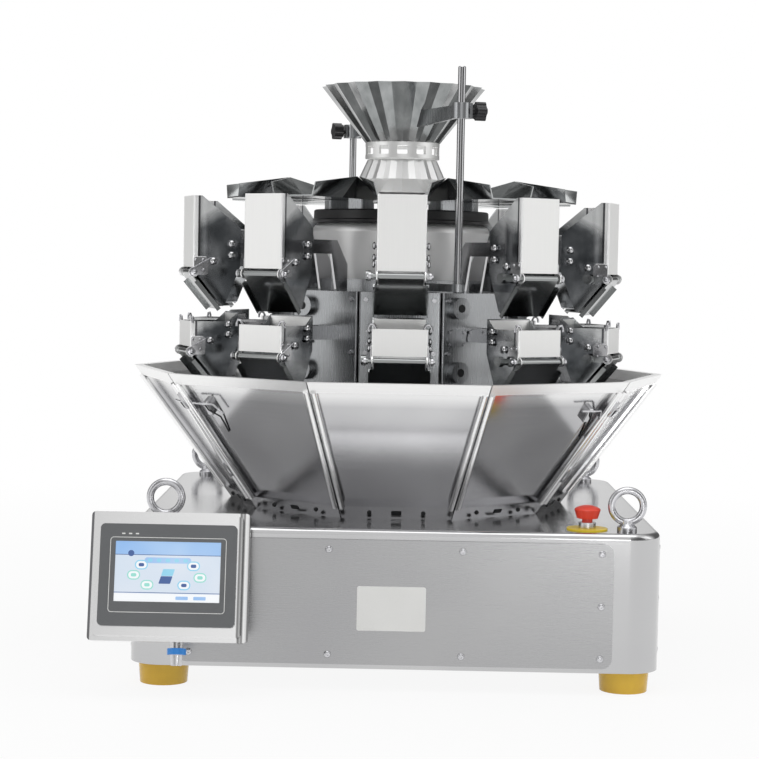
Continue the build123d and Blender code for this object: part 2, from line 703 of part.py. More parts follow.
def make_hopper(face_r, reach, width, top_z, lip, back_z, hinge_z):
    """One hopper of folded sheet, open at its top and at its slanted foot, with an ear for each hinge pin."""
    hinge = (face_r - HINGE_IN, hinge_z)
    back_r = face_r - reach
    waist_z = hinge_z + HOPPER_WAIST
    sill_z = hinge_z + HINGE_EAR_R
    foot_r, foot_z = on_gate(hinge, GATE_LENGTH, HOPPER_EDGE - HOPPER_FOOT)
    with BuildPart() as hopper:
        with BuildSketch(Plane.XZ):
            Polygon(
                (face_r, top_z), (face_r - lip, top_z), (back_r, back_z), (back_r, waist_z), (foot_r, foot_z),
                on_gate(hinge, GATE_LENGTH, HOPPER_EDGE), on_gate(hinge, 0, HOPPER_EDGE), (face_r, sill_z),
                align=None,
            )
        extrude(amount=width / 2, both=True)
        fillet(hopper.edges().filter_by(Axis.Z).group_by(Axis.X)[-1], HOPPER_BEND)
        with BuildSketch(Plane.XZ):
            with Locations(hinge):
                Circle(HINGE_EAR_R)
        extrude(amount=width / 2, both=True)
        with BuildSketch(Plane.XZ):
            Polygon(
                (face_r - SHEET, top_z + reach), (back_r + SHEET, top_z + reach), (back_r + SHEET, waist_z),
                (foot_r + SHEET, foot_z), (foot_r + SHEET, foot_z - reach), (face_r + reach, foot_z - reach),
                (face_r + reach, sill_z), (face_r - SHEET, sill_z), align=None,
            )
        extrude(amount=width / 2 - SHEET, both=True, mode=Mode.SUBTRACT)
        with BuildSketch(Plane.XZ):
            with Locations(hinge):
                Circle(PIN_R + PIN_FIT)
        extrude(amount=width, both=True, mode=Mode.SUBTRACT)
    return hopper.part


def make_gate(face_r, width, hinge_z):
    """One gate: a rolled hinge with pins, a hemmed plate, and a crank with its roller on one side."""
    hinge = (face_r - HINGE_IN, hinge_z)
    inside = width / 2 - SHEET - GATE_SIDE_RUN
    outside = width / 2 + GATE_OVERHANG
    with BuildPart() as gate:
        with BuildSketch(Plane.XZ):
            Polygon(
                on_gate(hinge, GATE_NECK, GATE_INNER), on_gate(hinge, GATE_NECK, GATE_ROLL_R + GATE_HEM),
                on_gate(hinge, GATE_LENGTH, GATE_ROLL_R + GATE_HEM), on_gate(hinge, GATE_LENGTH, GATE_INNER),
                align=None,
            )
        extrude(amount=outside, both=True)
        with BuildSketch(Plane.XZ):
            Polygon(
                on_gate(hinge, 0, GATE_ROLL_R), on_gate(hinge, 0, GATE_LENGTH),
                on_gate(hinge, 2 * GATE_LENGTH, GATE_LENGTH), on_gate(hinge, 2 * GATE_LENGTH, GATE_ROLL_R),
                align=None,
            )
        extrude(amount=outside - SHEET, both=True, mode=Mode.SUBTRACT)
        with BuildSketch(Plane.XZ):
            with Locations(hinge):
                Circle(GATE_ROLL_R)
            Polygon(
                on_gate(hinge, 0, GATE_INNER), on_gate(hinge, 0, GATE_ROLL_R),
                on_gate(hinge, GATE_NECK, GATE_ROLL_R), on_gate(hinge, GATE_NECK, GATE_INNER), align=None,
            )
        extrude(amount=inside, both=True)
        with BuildSketch(Plane.XZ):
            with Locations(hinge):
                Circle(PIN_R)
        extrude(amount=width / 2 + CRANK_OUT, both=True)
        with BuildSketch(Plane.XZ.offset(width / 2 + CRANK_OUT)):
            with Locations((hinge[0] - CRANK_LENGTH / 2, hinge_z)):
                SlotCenterToCenter(CRANK_LENGTH, CRANK_WIDTH)
        extrude(amount=CRANK_SHEET)
        with BuildSketch(Plane.XZ.offset(width / 2 + CRANK_OUT + CRANK_SHEET)):
            with Locations((hinge[0] - CRANK_LENGTH, hinge_z)):
                Circle(ROLLER_R)
        extrude(amount=ROLLER_LENGTH)
    return gate.part


# Hoppers: a ring of feed hoppers over a ring of weigh hoppers
feed_hopper = make_hopper(
    FEED_FACE_R, FEED_REACH, FEED_WIDTH, FEED_TOP_Z, FEED_LIP, FEED_BACK_Z, FEED_HINGE_Z)
weigh_hopper = make_hopper(
    WEIGH_FACE_R, WEIGH_REACH, WEIGH_WIDTH, WEIGH_TOP_Z, WEIGH_LIP, WEIGH_BACK_Z, WEIGH_HINGE_Z)
with BuildPart() as feed_hoppers:
    for head in range(HEADS):
        with Locations(turned(head * HEAD_STEP)):
            add(feed_hopper)
keep(feed_hoppers, "feed_hoppers")
with BuildPart() as weigh_hoppers:
    for head in range(HEADS):
        with Locations(turned(head * HEAD_STEP)):
            add(weigh_hopper)
keep(weigh_hoppers, "weigh_hoppers")

# Gates: one under each hopper, each a piece of its own because each one swings
feed_gate = make_gate(FEED_FACE_R, FEED_WIDTH, FEED_HINGE_Z)
weigh_gate = make_gate(WEIGH_FACE_R, WEIGH_WIDTH, WEIGH_HINGE_Z)
for head in range(HEADS):
    with BuildPart() as placed_feed_gate:
        with Locations(turned(head * HEAD_STEP)):
            add(feed_gate)
    keep(placed_feed_gate, f"feed_gate_{head + 1:02d}")
    with BuildPart() as placed_weigh_gate:
        with Locations(turned(head * HEAD_STEP)):
            add(weigh_gate)
    keep(placed_weigh_gate, f"weigh_gate_{head + 1:02d}")

# Drive units: ten housings that close round the column, each with a rounded cover and two shaft bosses
DRIVE_IN_HALF = COLUMN_FLAT * tan(radians(HALF_STEP)) - DRIVE_SEAM
DRIVE_OUT_HALF = DRIVE_OUT_R * tan(radians(HALF_STEP)) - DRIVE_SEAM
with BuildPart() as drive_unit:
    with BuildSketch(Plane.XY.offset(DRIVE_LOW_Z)):
        Polygon(
            (COLUMN_FLAT, DRIVE_IN_HALF), (COLUMN_FLAT, -DRIVE_IN_HALF), (DRIVE_OUT_R, -DRIVE_OUT_HALF),
            (DRIVE_OUT_R, DRIVE_OUT_HALF), align=None,
        )
    extrude(amount=DRIVE_TOP_Z - DRIVE_LOW_Z)
    fillet(drive_unit.edges().filter_by(Axis.Z).group_by(Axis.X)[-1], DRIVE_EDGE)
    with BuildSketch(Plane.YZ.offset(DRIVE_OUT_R)):
        with Locations((-COVER_OFF, COVER_Z)):
            SlotOverall(COVER_WIDTH, COVER_HEIGHT)
    extrude(amount=COVER_SHEET)
    with BuildSketch(Plane.YZ.offset(DRIVE_OUT_R)):
        with Locations((-SHAFT_OFF, SHAFT_UP_Z), (-SHAFT_OFF, SHAFT_LOW_Z)):
            Circle(SHAFT_R)
    extrude(amount=SHAFT_OUT)
with BuildPart() as drive_units:
    for head in range(HEADS):
        with Locations(turned(head * HEAD_STEP)):
            add(drive_unit.part)
keep(drive_units, "drive_units")

# Hangers: two cheeks and a plate flush with a hopper's back, one pair for each hopper
FEED_BACK_R = FEED_FACE_R - FEED_REACH
WEIGH_BACK_R = WEIGH_FACE_R - WEIGH_REACH
with BuildPart() as hanger:
    with BuildSketch(Plane.XZ):
        Polygon(
            (HANGER_ROOT_R, DRIVE_TOP_Z), (HANGER_ROOT_OUT_R, DRIVE_TOP_Z), (HANGER_KNEE_R, HANGER_KNEE_Z),
            (FEED_BACK_R, HANGER_KNEE_Z), (FEED_BACK_R, HANGER_KNEE_Z + HANGER_DEPTH),
            (HANGER_ROOT_OUT_R, HANGER_KNEE_Z + HANGER_DEPTH), (HANGER_ROOT_R, HANGER_KNEE_Z - HANGER_RISE / 2),
            align=None,
        )
        with Locations(((DRIVE_OUT_R + WEIGH_BACK_R) / 2, WEIGH_ARM_Z)):
            Rectangle(WEIGH_BACK_R - DRIVE_OUT_R, HANGER_DEPTH)
    extrude(amount=HANGER_WIDTH / 2, both=True)
    with BuildSketch(Plane.XZ):
        with Locations((0, DRIVE_LOW_Z)):
            Rectangle(FEED_BACK_R, FEED_TOP_Z, align=(Align.MIN, Align.MIN))
    extrude(amount=HANGER_WIDTH / 2 - HANGER_SHEET, both=True, mode=Mode.SUBTRACT)
    with BuildSketch(Plane.XZ):
        with Locations((FEED_BACK_R - HANGER_SHEET / 2, HANGER_PLATE_Z)):
            Rectangle(HANGER_SHEET, HANGER_PLATE)
        with Locations((WEIGH_BACK_R - HANGER_SHEET / 2, WEIGH_ARM_Z)):
            Rectangle(HANGER_SHEET, HANGER_PLATE)
    extrude(amount=HANGER_WIDTH / 2, both=True)
with BuildPart() as hopper_hangers:
    for head in range(HEADS):
        with Locations(turned(head * HEAD_STEP)):
            add(hanger.part)
keep(hopper_hangers, "hopper_hangers")

# The frame's origin is the middle of the whole machine's box, at floor level
boxes = [piece.bounding_box() for piece in pieces]
middle_x = (min(box.min.X for box in boxes) + max(box.max.X for box in boxes)) / 2
middle_y = (min(box.min.Y for box in boxes) + max(box.max.Y for box in boxes)) / 2
print("the machine's axis stands at", -middle_x, -middle_y)
os.makedirs("parts", exist_ok=True)
for piece in pieces:
    placed = piece.moved(Location((-middle_x, -middle_y, 0)))
    placed.label = piece.label
    export_step(placed, f"parts/{piece.label}.step")
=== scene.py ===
# %% [markdown]
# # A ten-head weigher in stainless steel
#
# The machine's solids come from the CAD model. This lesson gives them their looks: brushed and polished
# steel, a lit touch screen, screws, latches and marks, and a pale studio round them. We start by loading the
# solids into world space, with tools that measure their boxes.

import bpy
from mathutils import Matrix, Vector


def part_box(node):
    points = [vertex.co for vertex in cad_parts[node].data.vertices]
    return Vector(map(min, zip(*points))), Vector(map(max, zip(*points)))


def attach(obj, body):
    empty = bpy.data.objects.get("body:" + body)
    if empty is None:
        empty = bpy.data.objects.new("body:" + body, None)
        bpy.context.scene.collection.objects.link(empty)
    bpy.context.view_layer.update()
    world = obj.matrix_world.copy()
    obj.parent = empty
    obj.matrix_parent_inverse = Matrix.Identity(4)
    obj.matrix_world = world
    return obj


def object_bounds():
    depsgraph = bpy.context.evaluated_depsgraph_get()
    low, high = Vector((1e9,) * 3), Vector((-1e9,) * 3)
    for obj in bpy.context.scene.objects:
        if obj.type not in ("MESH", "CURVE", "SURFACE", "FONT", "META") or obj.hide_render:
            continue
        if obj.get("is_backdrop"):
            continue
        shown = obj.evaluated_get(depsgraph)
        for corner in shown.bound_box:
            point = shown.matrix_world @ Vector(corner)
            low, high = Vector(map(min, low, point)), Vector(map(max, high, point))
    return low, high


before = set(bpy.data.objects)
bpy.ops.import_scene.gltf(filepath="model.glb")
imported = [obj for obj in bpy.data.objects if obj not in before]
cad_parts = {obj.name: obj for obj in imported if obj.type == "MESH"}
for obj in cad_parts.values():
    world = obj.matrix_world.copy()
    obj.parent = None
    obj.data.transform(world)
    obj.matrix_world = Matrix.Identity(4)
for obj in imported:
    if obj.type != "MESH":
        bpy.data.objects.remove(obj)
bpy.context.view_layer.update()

# %% Tools and measures
from math import atan, atan2, cos, pi, radians, sin, tan

import bmesh
import bpy
from mathutils import Matrix, Vector

MM = 0.001
HEADS = 10
HEAD_STEP = 2 * pi / HEADS
FRONT = -pi / 2


def middle_of(node):
    """The middle of one CAD node's box."""
    low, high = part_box(node)
    return (Vector(low) + Vector(high)) / 2


AXIS = middle_of("dispersion_cone").to_2d().to_3d()
print("the machine's axis stands at", [round(value, 4) for value in AXIS])

# %% [markdown]
# ## Shader maths as plain expressions
#
# Blender's node trees are sums and products of sockets. Clicking them together is slow to read, so one small
# class wraps a socket and gives it + - * / and powers. Every other node comes from one method, `Tree.node`.
# A number that is the same all over a surface is set straight on the shader.


# %% Wrap a socket
class Wire:
    """One output socket; arithmetic on it adds Math nodes."""

    def __init__(self, owner, socket):
        self.owner = owner
        self.socket = socket

    def __add__(self, other):
        return self.owner.maths("ADD", self, other)

    def __radd__(self, other):
        return self.owner.maths("ADD", other, self)

    def __sub__(self, other):
        return self.owner.maths("SUBTRACT", self, other)

    def __rsub__(self, other):
        return self.owner.maths("SUBTRACT", other, self)

    def __mul__(self, other):
        return self.owner.maths("MULTIPLY", self, other)

    def __rmul__(self, other):
        return self.owner.maths("MULTIPLY", other, self)

    def __truediv__(self, other):
        return self.owner.maths("DIVIDE", self, other)

    def __pow__(self, other):
        return self.owner.maths("POWER", self, other)


print("sockets can be added, multiplied and raised")


# %% Fill a node tree
class Tree:
    """A node tree that is being filled: a material's, or the world's."""

    def __init__(self, tree):
        self.tree = tree

    def node(self, kind, settings=None, inputs=None, output=0):
        made = self.tree.nodes.new(kind)
        for key, value in (settings or {}).items():
            if key == "stops":
                ramp = made.color_ramp.elements
                while len(ramp) < len(value):
                    ramp.new(0.5)
                for element, (place, colour) in zip(ramp, value):
                    element.position = place
                    element.color = (*colour, 1)
            else:
                setattr(made, key, value)
        for key, value in (inputs or {}).items():
            if isinstance(value, Wire):
                self.tree.links.new(value.socket, made.inputs[key])
            else:
                made.inputs[key].default_value = value
        return Wire(self, made.outputs[output])

    def maths(self, operation, first, second=0.0):
        return self.node("ShaderNodeMath", {"operation": operation}, {0: first, 1: second})

    def vectors(self, operation, first, second=(0, 0, 0), output=0):
        return self.node("ShaderNodeVectorMath", {"operation": operation}, {0: first, 1: second}, output)

    def apart(self, vector):
        """The x, y and z of a vector."""
        return [self.node("ShaderNodeSeparateXYZ", {}, {0: vector}, axis) for axis in "XYZ"]

    def place(self):
        """Where a point of the surface is, in metres."""
        return self.node("ShaderNodeTexCoord", output="Object")

    def noise(self, scale, detail=3.0, stretch=(1, 1, 1)):
        """Smooth noise from 0 to 1; a larger stretch along an axis makes it finer that way."""
        stretched = self.vectors("MULTIPLY", self.place(), stretch)
        return self.node("ShaderNodeTexNoise", {}, {"Vector": stretched, "Scale": scale, "Detail": detail})

    def clamped(self, wire, low, high):
        return self.node("ShaderNodeClamp", {}, {"Value": wire, "Min": low, "Max": high})

    def beyond(self, wire, start, slope):
        """0 up to the start, then rising to 1 over a width of 1 / slope."""
        return self.clamped((wire - start) * slope, 0, 1)

    def mixed(self, share, first, second):
        """A colour that goes from the first to the second as share goes from 0 to 1."""
        return self.node("ShaderNodeMix", {"data_type": "RGBA"}, {0: share, 6: first, 7: second}, output=2)

    def blend(self, share, first, second):
        """The same, for two plain colours."""
        return self.mixed(share, (*first, 1), (*second, 1))

    def rays(self, *kinds):
        """One wire for each kind of ray that the Light Path node tells apart."""
        return [self.node("ShaderNodeLightPath", output=f"Is {kind} Ray") for kind in kinds]


print("node trees can be filled")


# %% Build a finish
class Finish(Tree):
    """A material with one shader, whose sockets are fed by name."""

    def __init__(self, name, **constants):
        self.material = bpy.data.materials.new(name)
        self.material.use_nodes = True
        super().__init__(self.material.node_tree)
        self.shader = self.tree.nodes["Principled BSDF"]
        for socket, value in constants.items():
            self.shader.inputs[socket.replace("_", " ")].default_value = value

    def feed(self, socket, wire):
        self.tree.links.new(wire.socket, self.shader.inputs[socket])

    def relief(self, height, strength, depth):
        inputs = {"Height": height, "Strength": strength, "Distance": depth}
        self.feed("Normal", self.node("ShaderNodeBump", {}, inputs, output="Normal"))


print("shader tools ready")

# %% [markdown]
# ## Brushed steel
#
# The base, its service panels and the drum are sheet that was ground on a belt. The belt leaves fine lines
# all one way. A noise squeezed hard along the height and hardly at all sideways gives such lines. They vary
# the roughness and a shallow bump, while a broad slow noise clouds the grey, as handled steel does. The same
# recipe with other greys and finer or coarser lines gives the polished, satin and pressed sheet too.


# %% Brushed and polished sheet
def brushed(name, pale, dark, rough, spread, stretch, relief, metal=1.0):
    """Steel with fine lines: stretch says along which axes the lines are fine."""
    finish = Finish(name, Metallic=metal)
    lines = finish.noise(1.0, 2.0, stretch)
    clouds = finish.noise(5.0, 2.0)
    finish.feed("Base Color", finish.blend(finish.clamped(clouds * 0.7 + lines * 0.3, 0, 1), dark, pale))
    finish.feed("Roughness", finish.clamped(rough + spread * (lines - 0.5) + 0.1 * (clouds - 0.5), 0.03, 1))
    finish.relief(lines, relief, 0.0002)
    return finish.material


housing_steel = brushed(
    "housing_steel", (0.62, 0.62, 0.62), (0.46, 0.46, 0.47), 0.15, 0.10, (14, 14, 2400), 0.06)
panel_steel = brushed(
    "panel_steel", (0.46, 0.46, 0.46), (0.35, 0.35, 0.36), 0.28, 0.11, (16, 16, 2600), 0.05)
drum_steel = brushed(
    "drum_steel", (0.97, 0.97, 0.96), (0.86, 0.86, 0.86), 0.42, 0.16, (10, 10, 2000), 0.10, metal=0.72)
satin_steel = brushed("satin_steel", (0.46, 0.47, 0.48), (0.32, 0.33, 0.34), 0.28, 0.12, (900, 900, 14), 0.08)
door_steel = brushed("door_steel", (0.96, 0.96, 0.96), (0.88, 0.88, 0.88), 0.20, 0.10, (12, 12, 1500), 0.04)
mirror_steel = brushed("mirror_steel", (0.58, 0.58, 0.59), (0.46, 0.46, 0.47), 0.12, 0.06, (9, 9, 900), 0.02)
pan_steel = brushed("pan_steel", (0.42, 0.43, 0.43), (0.28, 0.29, 0.29), 0.13, 0.06, (30, 30, 400), 0.03)
gate_steel = brushed("gate_steel", (0.36, 0.37, 0.37), (0.25, 0.26, 0.26), 0.14, 0.05, (10, 10, 900), 0.02)
cone_steel = brushed("cone_steel", (0.96, 0.96, 0.95), (0.88, 0.88, 0.88), 0.40, 0.08, (60, 60, 6), 0.03)
print("brushed and polished sheet made")

# %% [markdown]
# ## Hoppers with two finishes on one sheet
#
# The face of each hopper is a pale satin sheet, while its sides shine almost like mirrors. Both belong to one
# solid, so the material has to tell them apart. It compares the direction a surface faces with the direction
# away from the machine's axis: where the two agree, the sheet is a face. The angle round the axis, rounded to
# the nearest head, gives the distance out from the axis, so a hem and a crease can be drawn beside the face:
# the pale hem strip is painted bright as the highlight on the front edge, and the crease behind it is painted
# dark as shade. The sides also carry a painted reflection, dark and mottled low down and pale towards the
# top.


# %% Hopper sheet
FACE_AGREES = 0.90
# Painted light beside the face: the hem's painted highlight and the crease's painted shade.
HEM_HIGHLIGHT_WIDE = 8 * MM
CREASE_SHADE_TO = 11.5 * MM
CRISP = 1500
# Where the pale part of the painted reflection on the sides begins, and how its edge slants.
REFLECTION_SLANT = 0.5
REFLECTION_RUN = 40 * MM
REFLECTION_WAVE = 0.04
REFLECTION_SOFT = 45


def hopper_sheet(name, face_at, reflection_from):
    """Pale faces; on the sides, a painted hem highlight, painted crease shade and a painted reflection."""
    finish = Finish(name, Metallic=1.0)
    from_axis = finish.vectors("SUBTRACT", finish.place(), tuple(AXIS))
    side_way, front_way, high = finish.apart(from_axis)
    turns = (finish.maths("ARCTAN2", front_way, side_way) - FRONT) / HEAD_STEP
    off_middle = (turns - finish.maths("ROUND", turns)) * HEAD_STEP
    distance = (side_way * side_way + front_way * front_way) ** 0.5
    out = distance * finish.maths("COSINE", off_middle)
    radial = finish.vectors("NORMALIZE", finish.vectors("MULTIPLY", from_axis, (1, 1, 0)))
    facing = finish.node("ShaderNodeNewGeometry", output="Normal")
    face = finish.beyond(finish.vectors("DOT_PRODUCT", radial, facing, "Value"), FACE_AGREES, 20)
    lines = finish.noise(1.0, 2.0, (700, 700, 10))
    clouds = finish.noise(16.0, 3.0)
    # The pale part of the painted reflection on the sides: above a line that slants down towards the face.
    slanted = high + REFLECTION_SLANT * (out - face_at + REFLECTION_RUN) + REFLECTION_WAVE * (clouds - 0.5)
    light = finish.beyond(slanted, reflection_from, REFLECTION_SOFT)
    # The dark, mottled part of the painted reflection, lower on the sides.
    lower = finish.blend(finish.clamped(3.0 * clouds - 1.2, 0, 1), (0.20, 0.21, 0.22), (0.66, 0.67, 0.68))
    sides = finish.mixed(light, lower, (0.80, 0.81, 0.81, 1))
    # A pale hem strip at the front edge, painted bright as its highlight, and behind it a dark strip of
    # painted shade in the crease.
    hem = finish.beyond(out, face_at - HEM_HIGHLIGHT_WIDE, CRISP)
    crease_shaded = finish.mixed(finish.beyond(out, face_at - CREASE_SHADE_TO, CRISP), sides, (0.12, 0.12, 0.13, 1))
    hem_highlighted = finish.mixed(hem, crease_shaded, (0.96, 0.96, 0.96, 1))
    pale = finish.blend(lines, (0.94, 0.94, 0.93), (0.98, 0.98, 0.97))
    rough = 0.07 + 0.34 * face + 0.2 * hem + 0.05 * lines + 0.05 * clouds
    finish.feed("Base Color", finish.mixed(face, hem_highlighted, pale))
    # Where the painted reflection is pale, the sides are also made less metallic.
    finish.feed("Metallic", 1 - 0.45 * light * (1 - face))
    finish.feed("Roughness", finish.clamped(rough, 0.03, 1))
    finish.relief(lines, 0.01, 0.0002)
    return finish.material


feed_steel = hopper_sheet("feed_steel", 363 * MM, 700 * MM)
weigh_steel = hopper_sheet("weigh_steel", 367 * MM, 530 * MM)
print("hopper sheets made")

# %% [markdown]
# ## Funnels with a satin rim or neck
#
# The collecting funnel's panels are polished and grow lighter near the top, where a painted reflection lies
# on them, and their folded rim is ground to a pale satin. The infeed funnel is the other way up: dark
# streaked petals over a satin neck. Two materials on one mesh would need its faces sorted, so the height of a
# point picks the finish instead.


# %% Funnel sheets
RIM_FROM = 448 * MM
PAINTED_REFLECTION_FROM = 425 * MM
NECK_TO = 843 * MM
CUT_SLOPE = 2000
FADE_SLOPE = 60


def funnel_sheet(name):
    """Polished panels with a pale painted reflection near the top, and a pale satin rim."""
    finish = Finish(name, Metallic=1.0)
    high = finish.apart(finish.place())[2]
    rim = finish.beyond(high, RIM_FROM, CUT_SLOPE)
    lines = finish.noise(1.0, 2.0, (12, 12, 1500))
    clouds = finish.noise(4.0, 2.0)
    mottled = finish.clamped(1.6 * clouds - 0.4 + 0.2 * lines, 0, 1)
    sheet = finish.blend(mottled, (0.40, 0.40, 0.41), (0.68, 0.68, 0.69))
    # Painted reflection: the panels are made lighter above a set height near the top.
    with_painted_reflection = finish.mixed(finish.beyond(high, PAINTED_REFLECTION_FROM, FADE_SLOPE), sheet, (0.82, 0.82, 0.82, 1))
    edge = finish.blend(lines, (0.92, 0.92, 0.92), (0.98, 0.98, 0.97))
    rough = 0.13 + 0.25 * rim + 0.10 * (lines - 0.5) + 0.05 * clouds
    finish.feed("Base Color", finish.mixed(rim, with_painted_reflection, edge))
    finish.feed("Roughness", finish.clamped(rough, 0.03, 1))
    finish.relief(lines, 0.03, 0.0002)
    return finish.material


def infeed_sheet(name):
    """The infeed funnel's streaked sheet, and its satin neck."""
    finish = Finish(name, Metallic=1.0)
    neck = finish.beyond(NECK_TO - finish.apart(finish.place())[2], 0, CUT_SLOPE)
    streaks = finish.noise(1.0, 2.0, (60, 60, 3))
    sheet = finish.blend(streaks, (0.20, 0.21, 0.21), (0.60, 0.60, 0.60))
    finish.feed("Base Color", finish.mixed(neck, sheet, (0.93, 0.93, 0.92, 1)))
    finish.feed("Roughness", 0.10 + 0.3 * neck + 0.06 * streaks)
    finish.relief(streaks, 0.03, 0.0002)
    return finish.material


funnel_steel = funnel_sheet("funnel_steel")
infeed_steel = infeed_sheet("infeed_steel")
print("funnel sheets made")

# %% [markdown]
# ## The control box
#
# The box is bright satin sheet. Its left side falls away from the light, so a dark strip along it paints that
# shade. The frame behind the door is folded into narrow upright bands at the right. They are too fine to be
# worth modelling, so a colour ramp across the last few millimetres paints their highlights and shade: dark,
# bright, dark, grey, dark.


# %% Box sheet
FOLDS_WIDE = 17 * MM
LEFT_SHADE_WIDE = 4 * MM
FOLD_SHADING_STOPS = ((0.0, 0.10), (0.12, 0.80), (0.34, 0.95), (0.46, 0.22), (0.60, 0.55), (0.80, 0.20), (0.92, 0.92))


def box_sheet(name):
    """Bright satin sheet with painted shade at its left side and painted light and shade on bands at the
    right.
    """
    finish = Finish(name, Metallic=1.0)
    low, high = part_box("control_box")
    side_way = finish.apart(finish.place())[0]
    from_right = high[0] - side_way
    from_left = side_way - low[0]
    lines = finish.noise(1.0, 2.0, (12, 12, 1500))
    sheet = finish.blend(lines, (0.88, 0.88, 0.88), (0.97, 0.97, 0.97))
    # The ramp paints the highlights and shade of the narrow bands at the right.
    stops = [(place, (grey, grey, grey)) for place, grey in FOLD_SHADING_STOPS]
    fold_shading = finish.node("ShaderNodeValToRGB", {"stops": stops}, {"Fac": from_right / FOLDS_WIDE})
    with_fold_shading = finish.mixed(finish.beyond(FOLDS_WIDE - from_right, 0, 4000), sheet, fold_shading)
    # Painted shade: a dark strip along the box's left side.
    shaded = finish.mixed(finish.beyond(LEFT_SHADE_WIDE - from_left, 0, CRISP), with_fold_shading, (0.22, 0.22, 0.23, 1))
    finish.feed("Base Color", shaded)
    finish.feed("Roughness", finish.clamped(0.20 + 0.10 * (lines - 0.5), 0.03, 1))
    finish.relief(lines, 0.04, 0.0002)
    return finish.material


box_steel = box_sheet("box_steel")
print("box sheet made")

# %% [markdown]
# ## Cast, zinc plated and moulded pieces
#
# The lifting eyes are forged and plated, so their skin is a little lumpy. The feet are amber resin. The stop
# button, knobs, bezel and gland are moulded plastic with a fine spark-eroded grain, which is a small bump.


# %% Plated and moulded finishes
def plated(name, pale, dark):
    """Zinc on a small or forged piece: lumps vary its grey, its gloss and its relief."""
    finish = Finish(name, Metallic=1.0)
    lumps = finish.noise(90.0, 4.0)
    finish.feed("Base Color", finish.blend(lumps, dark, pale))
    finish.feed("Roughness", 0.18 + 0.2 * lumps)
    finish.relief(lumps, 0.15, 0.0005)
    return finish.material


def moulded(name, colour, shade, rough, grain, strength):
    """Plastic or lacquer with a fine grain and a slow drift of colour."""
    finish = Finish(name, IOR=1.5)
    cloud = finish.noise(18.0, 3.0)
    pores = finish.noise(grain, 2.0)
    finish.feed("Base Color", finish.blend(cloud, shade, colour))
    finish.feed("Roughness", finish.clamped(rough + 0.15 * (pores - 0.5), 0.05, 1))
    finish.relief(pores, strength, 0.0003)
    return finish.material


zinc = plated("zinc", (0.70, 0.70, 0.72), (0.52, 0.52, 0.54))
amber_resin = moulded("amber_resin", (0.93, 0.62, 0.06), (0.56, 0.30, 0.012), 0.16, 260.0, 0.12)
red_plastic = moulded("red_plastic", (0.86, 0.07, 0.03), (0.72, 0.04, 0.02), 0.30, 900.0, 0.05)
black_plastic = moulded("black_plastic", (0.025, 0.025, 0.027), (0.012, 0.012, 0.013), 0.38, 900.0, 0.1)
bezel_plastic = moulded("bezel_plastic", (0.15, 0.155, 0.16), (0.12, 0.125, 0.13), 0.45, 1500.0, 0.08)
white_lacquer = moulded("white_lacquer", (0.84, 0.84, 0.82), (0.78, 0.78, 0.76), 0.30, 700.0, 0.04)
dark_gap = moulded("dark_gap", (0.02, 0.022, 0.024), (0.012, 0.013, 0.014), 0.6, 300.0, 0.05)
print("plated and moulded finishes made")

# %% [markdown]
# ## Two colours on one solid
#
# The stop button's collar is one turned solid, but its flat disc is painted yellow and the rest is bare. The
# cable gland is a steel cone with a blue ring. Instead of cutting the mesh, the material measures how far a
# point lies along a direction and paints only what lies between two heights.


# %% Painted band on bare metal
def banded(name, paint, shade, direction, low, high):
    """Paint between two heights along a direction, and bare metal beyond them."""
    finish = Finish(name)
    along = finish.vectors("DOT_PRODUCT", finish.place(), direction, "Value")
    painted = finish.maths("GREATER_THAN", along, low) * finish.maths("LESS_THAN", along, high)
    pores = finish.noise(700.0, 2.0)
    bare = finish.blend(pores, (0.56, 0.56, 0.57), (0.70, 0.70, 0.71))
    coat = finish.blend(pores, shade, paint)
    finish.feed("Base Color", finish.mixed(painted, bare, coat))
    finish.feed("Metallic", 1 - painted)
    finish.feed("Roughness", 0.22 + 0.12 * painted + 0.08 * pores)
    finish.relief(pores, 0.05, 0.0003)
    return finish.material


SCREEN_TILT = radians(14)
GLAND_DOWN = Vector((0, -sin(SCREEN_TILT), -cos(SCREEN_TILT)))
gland_middle = middle_of("cable_gland").dot(GLAND_DOWN)
gland_ring = banded(
    "gland_ring", (0.04, 0.30, 0.80), (0.03, 0.22, 0.66), tuple(GLAND_DOWN), gland_middle - 8 * MM,
    gland_middle + 1.5 * MM)
disc_low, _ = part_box("stop_collar")
collar_paint = banded(
    "collar_paint", (0.92, 0.70, 0.03), (0.84, 0.60, 0.02), (0, 0, 1), disc_low.z - MM, disc_low.z + 2.2 * MM)
print("banded finishes made")

# %% Give each solid its finish
finishes = {
    "base_housing": housing_steel, "service_panels": panel_steel, "feet": amber_resin, "lifting_eyes": zinc,
    "stop_collar": collar_paint, "stop_button": red_plastic, "control_box": box_steel,
    "touch_screen": bezel_plastic, "control_bracket": satin_steel, "cable_gland": gland_ring,
    "collecting_funnel": funnel_steel, "column": satin_steel, "support_legs": satin_steel,
    "drum": drum_steel, "shakers": satin_steel, "feeder_pans": pan_steel, "dispersion_cone": cone_steel,
    "infeed_funnel": infeed_steel, "funnel_rods": mirror_steel, "funnel_arms": satin_steel,
    "knobs": black_plastic, "feed_hoppers": feed_steel, "weigh_hoppers": weigh_steel,
    "drive_units": satin_steel, "hopper_hangers": mirror_steel,
}
for name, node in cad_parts.items():
    node.data.materials.clear()
    node.data.materials.append(finishes.get(name, gate_steel))
print("finishes given to", len(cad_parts), "solids")

# %% [markdown]
# ## Small shapes from profiles
#
# Screws, rings and plates are easiest as a few helpers: one spins a profile about an axis, one makes a
# rounded plate with soft edges, and one joins many placed copies into a single mesh, which keeps the scene
# light. A subdivision surface would round them too, but would blur the crisp rims that sheet metal has.


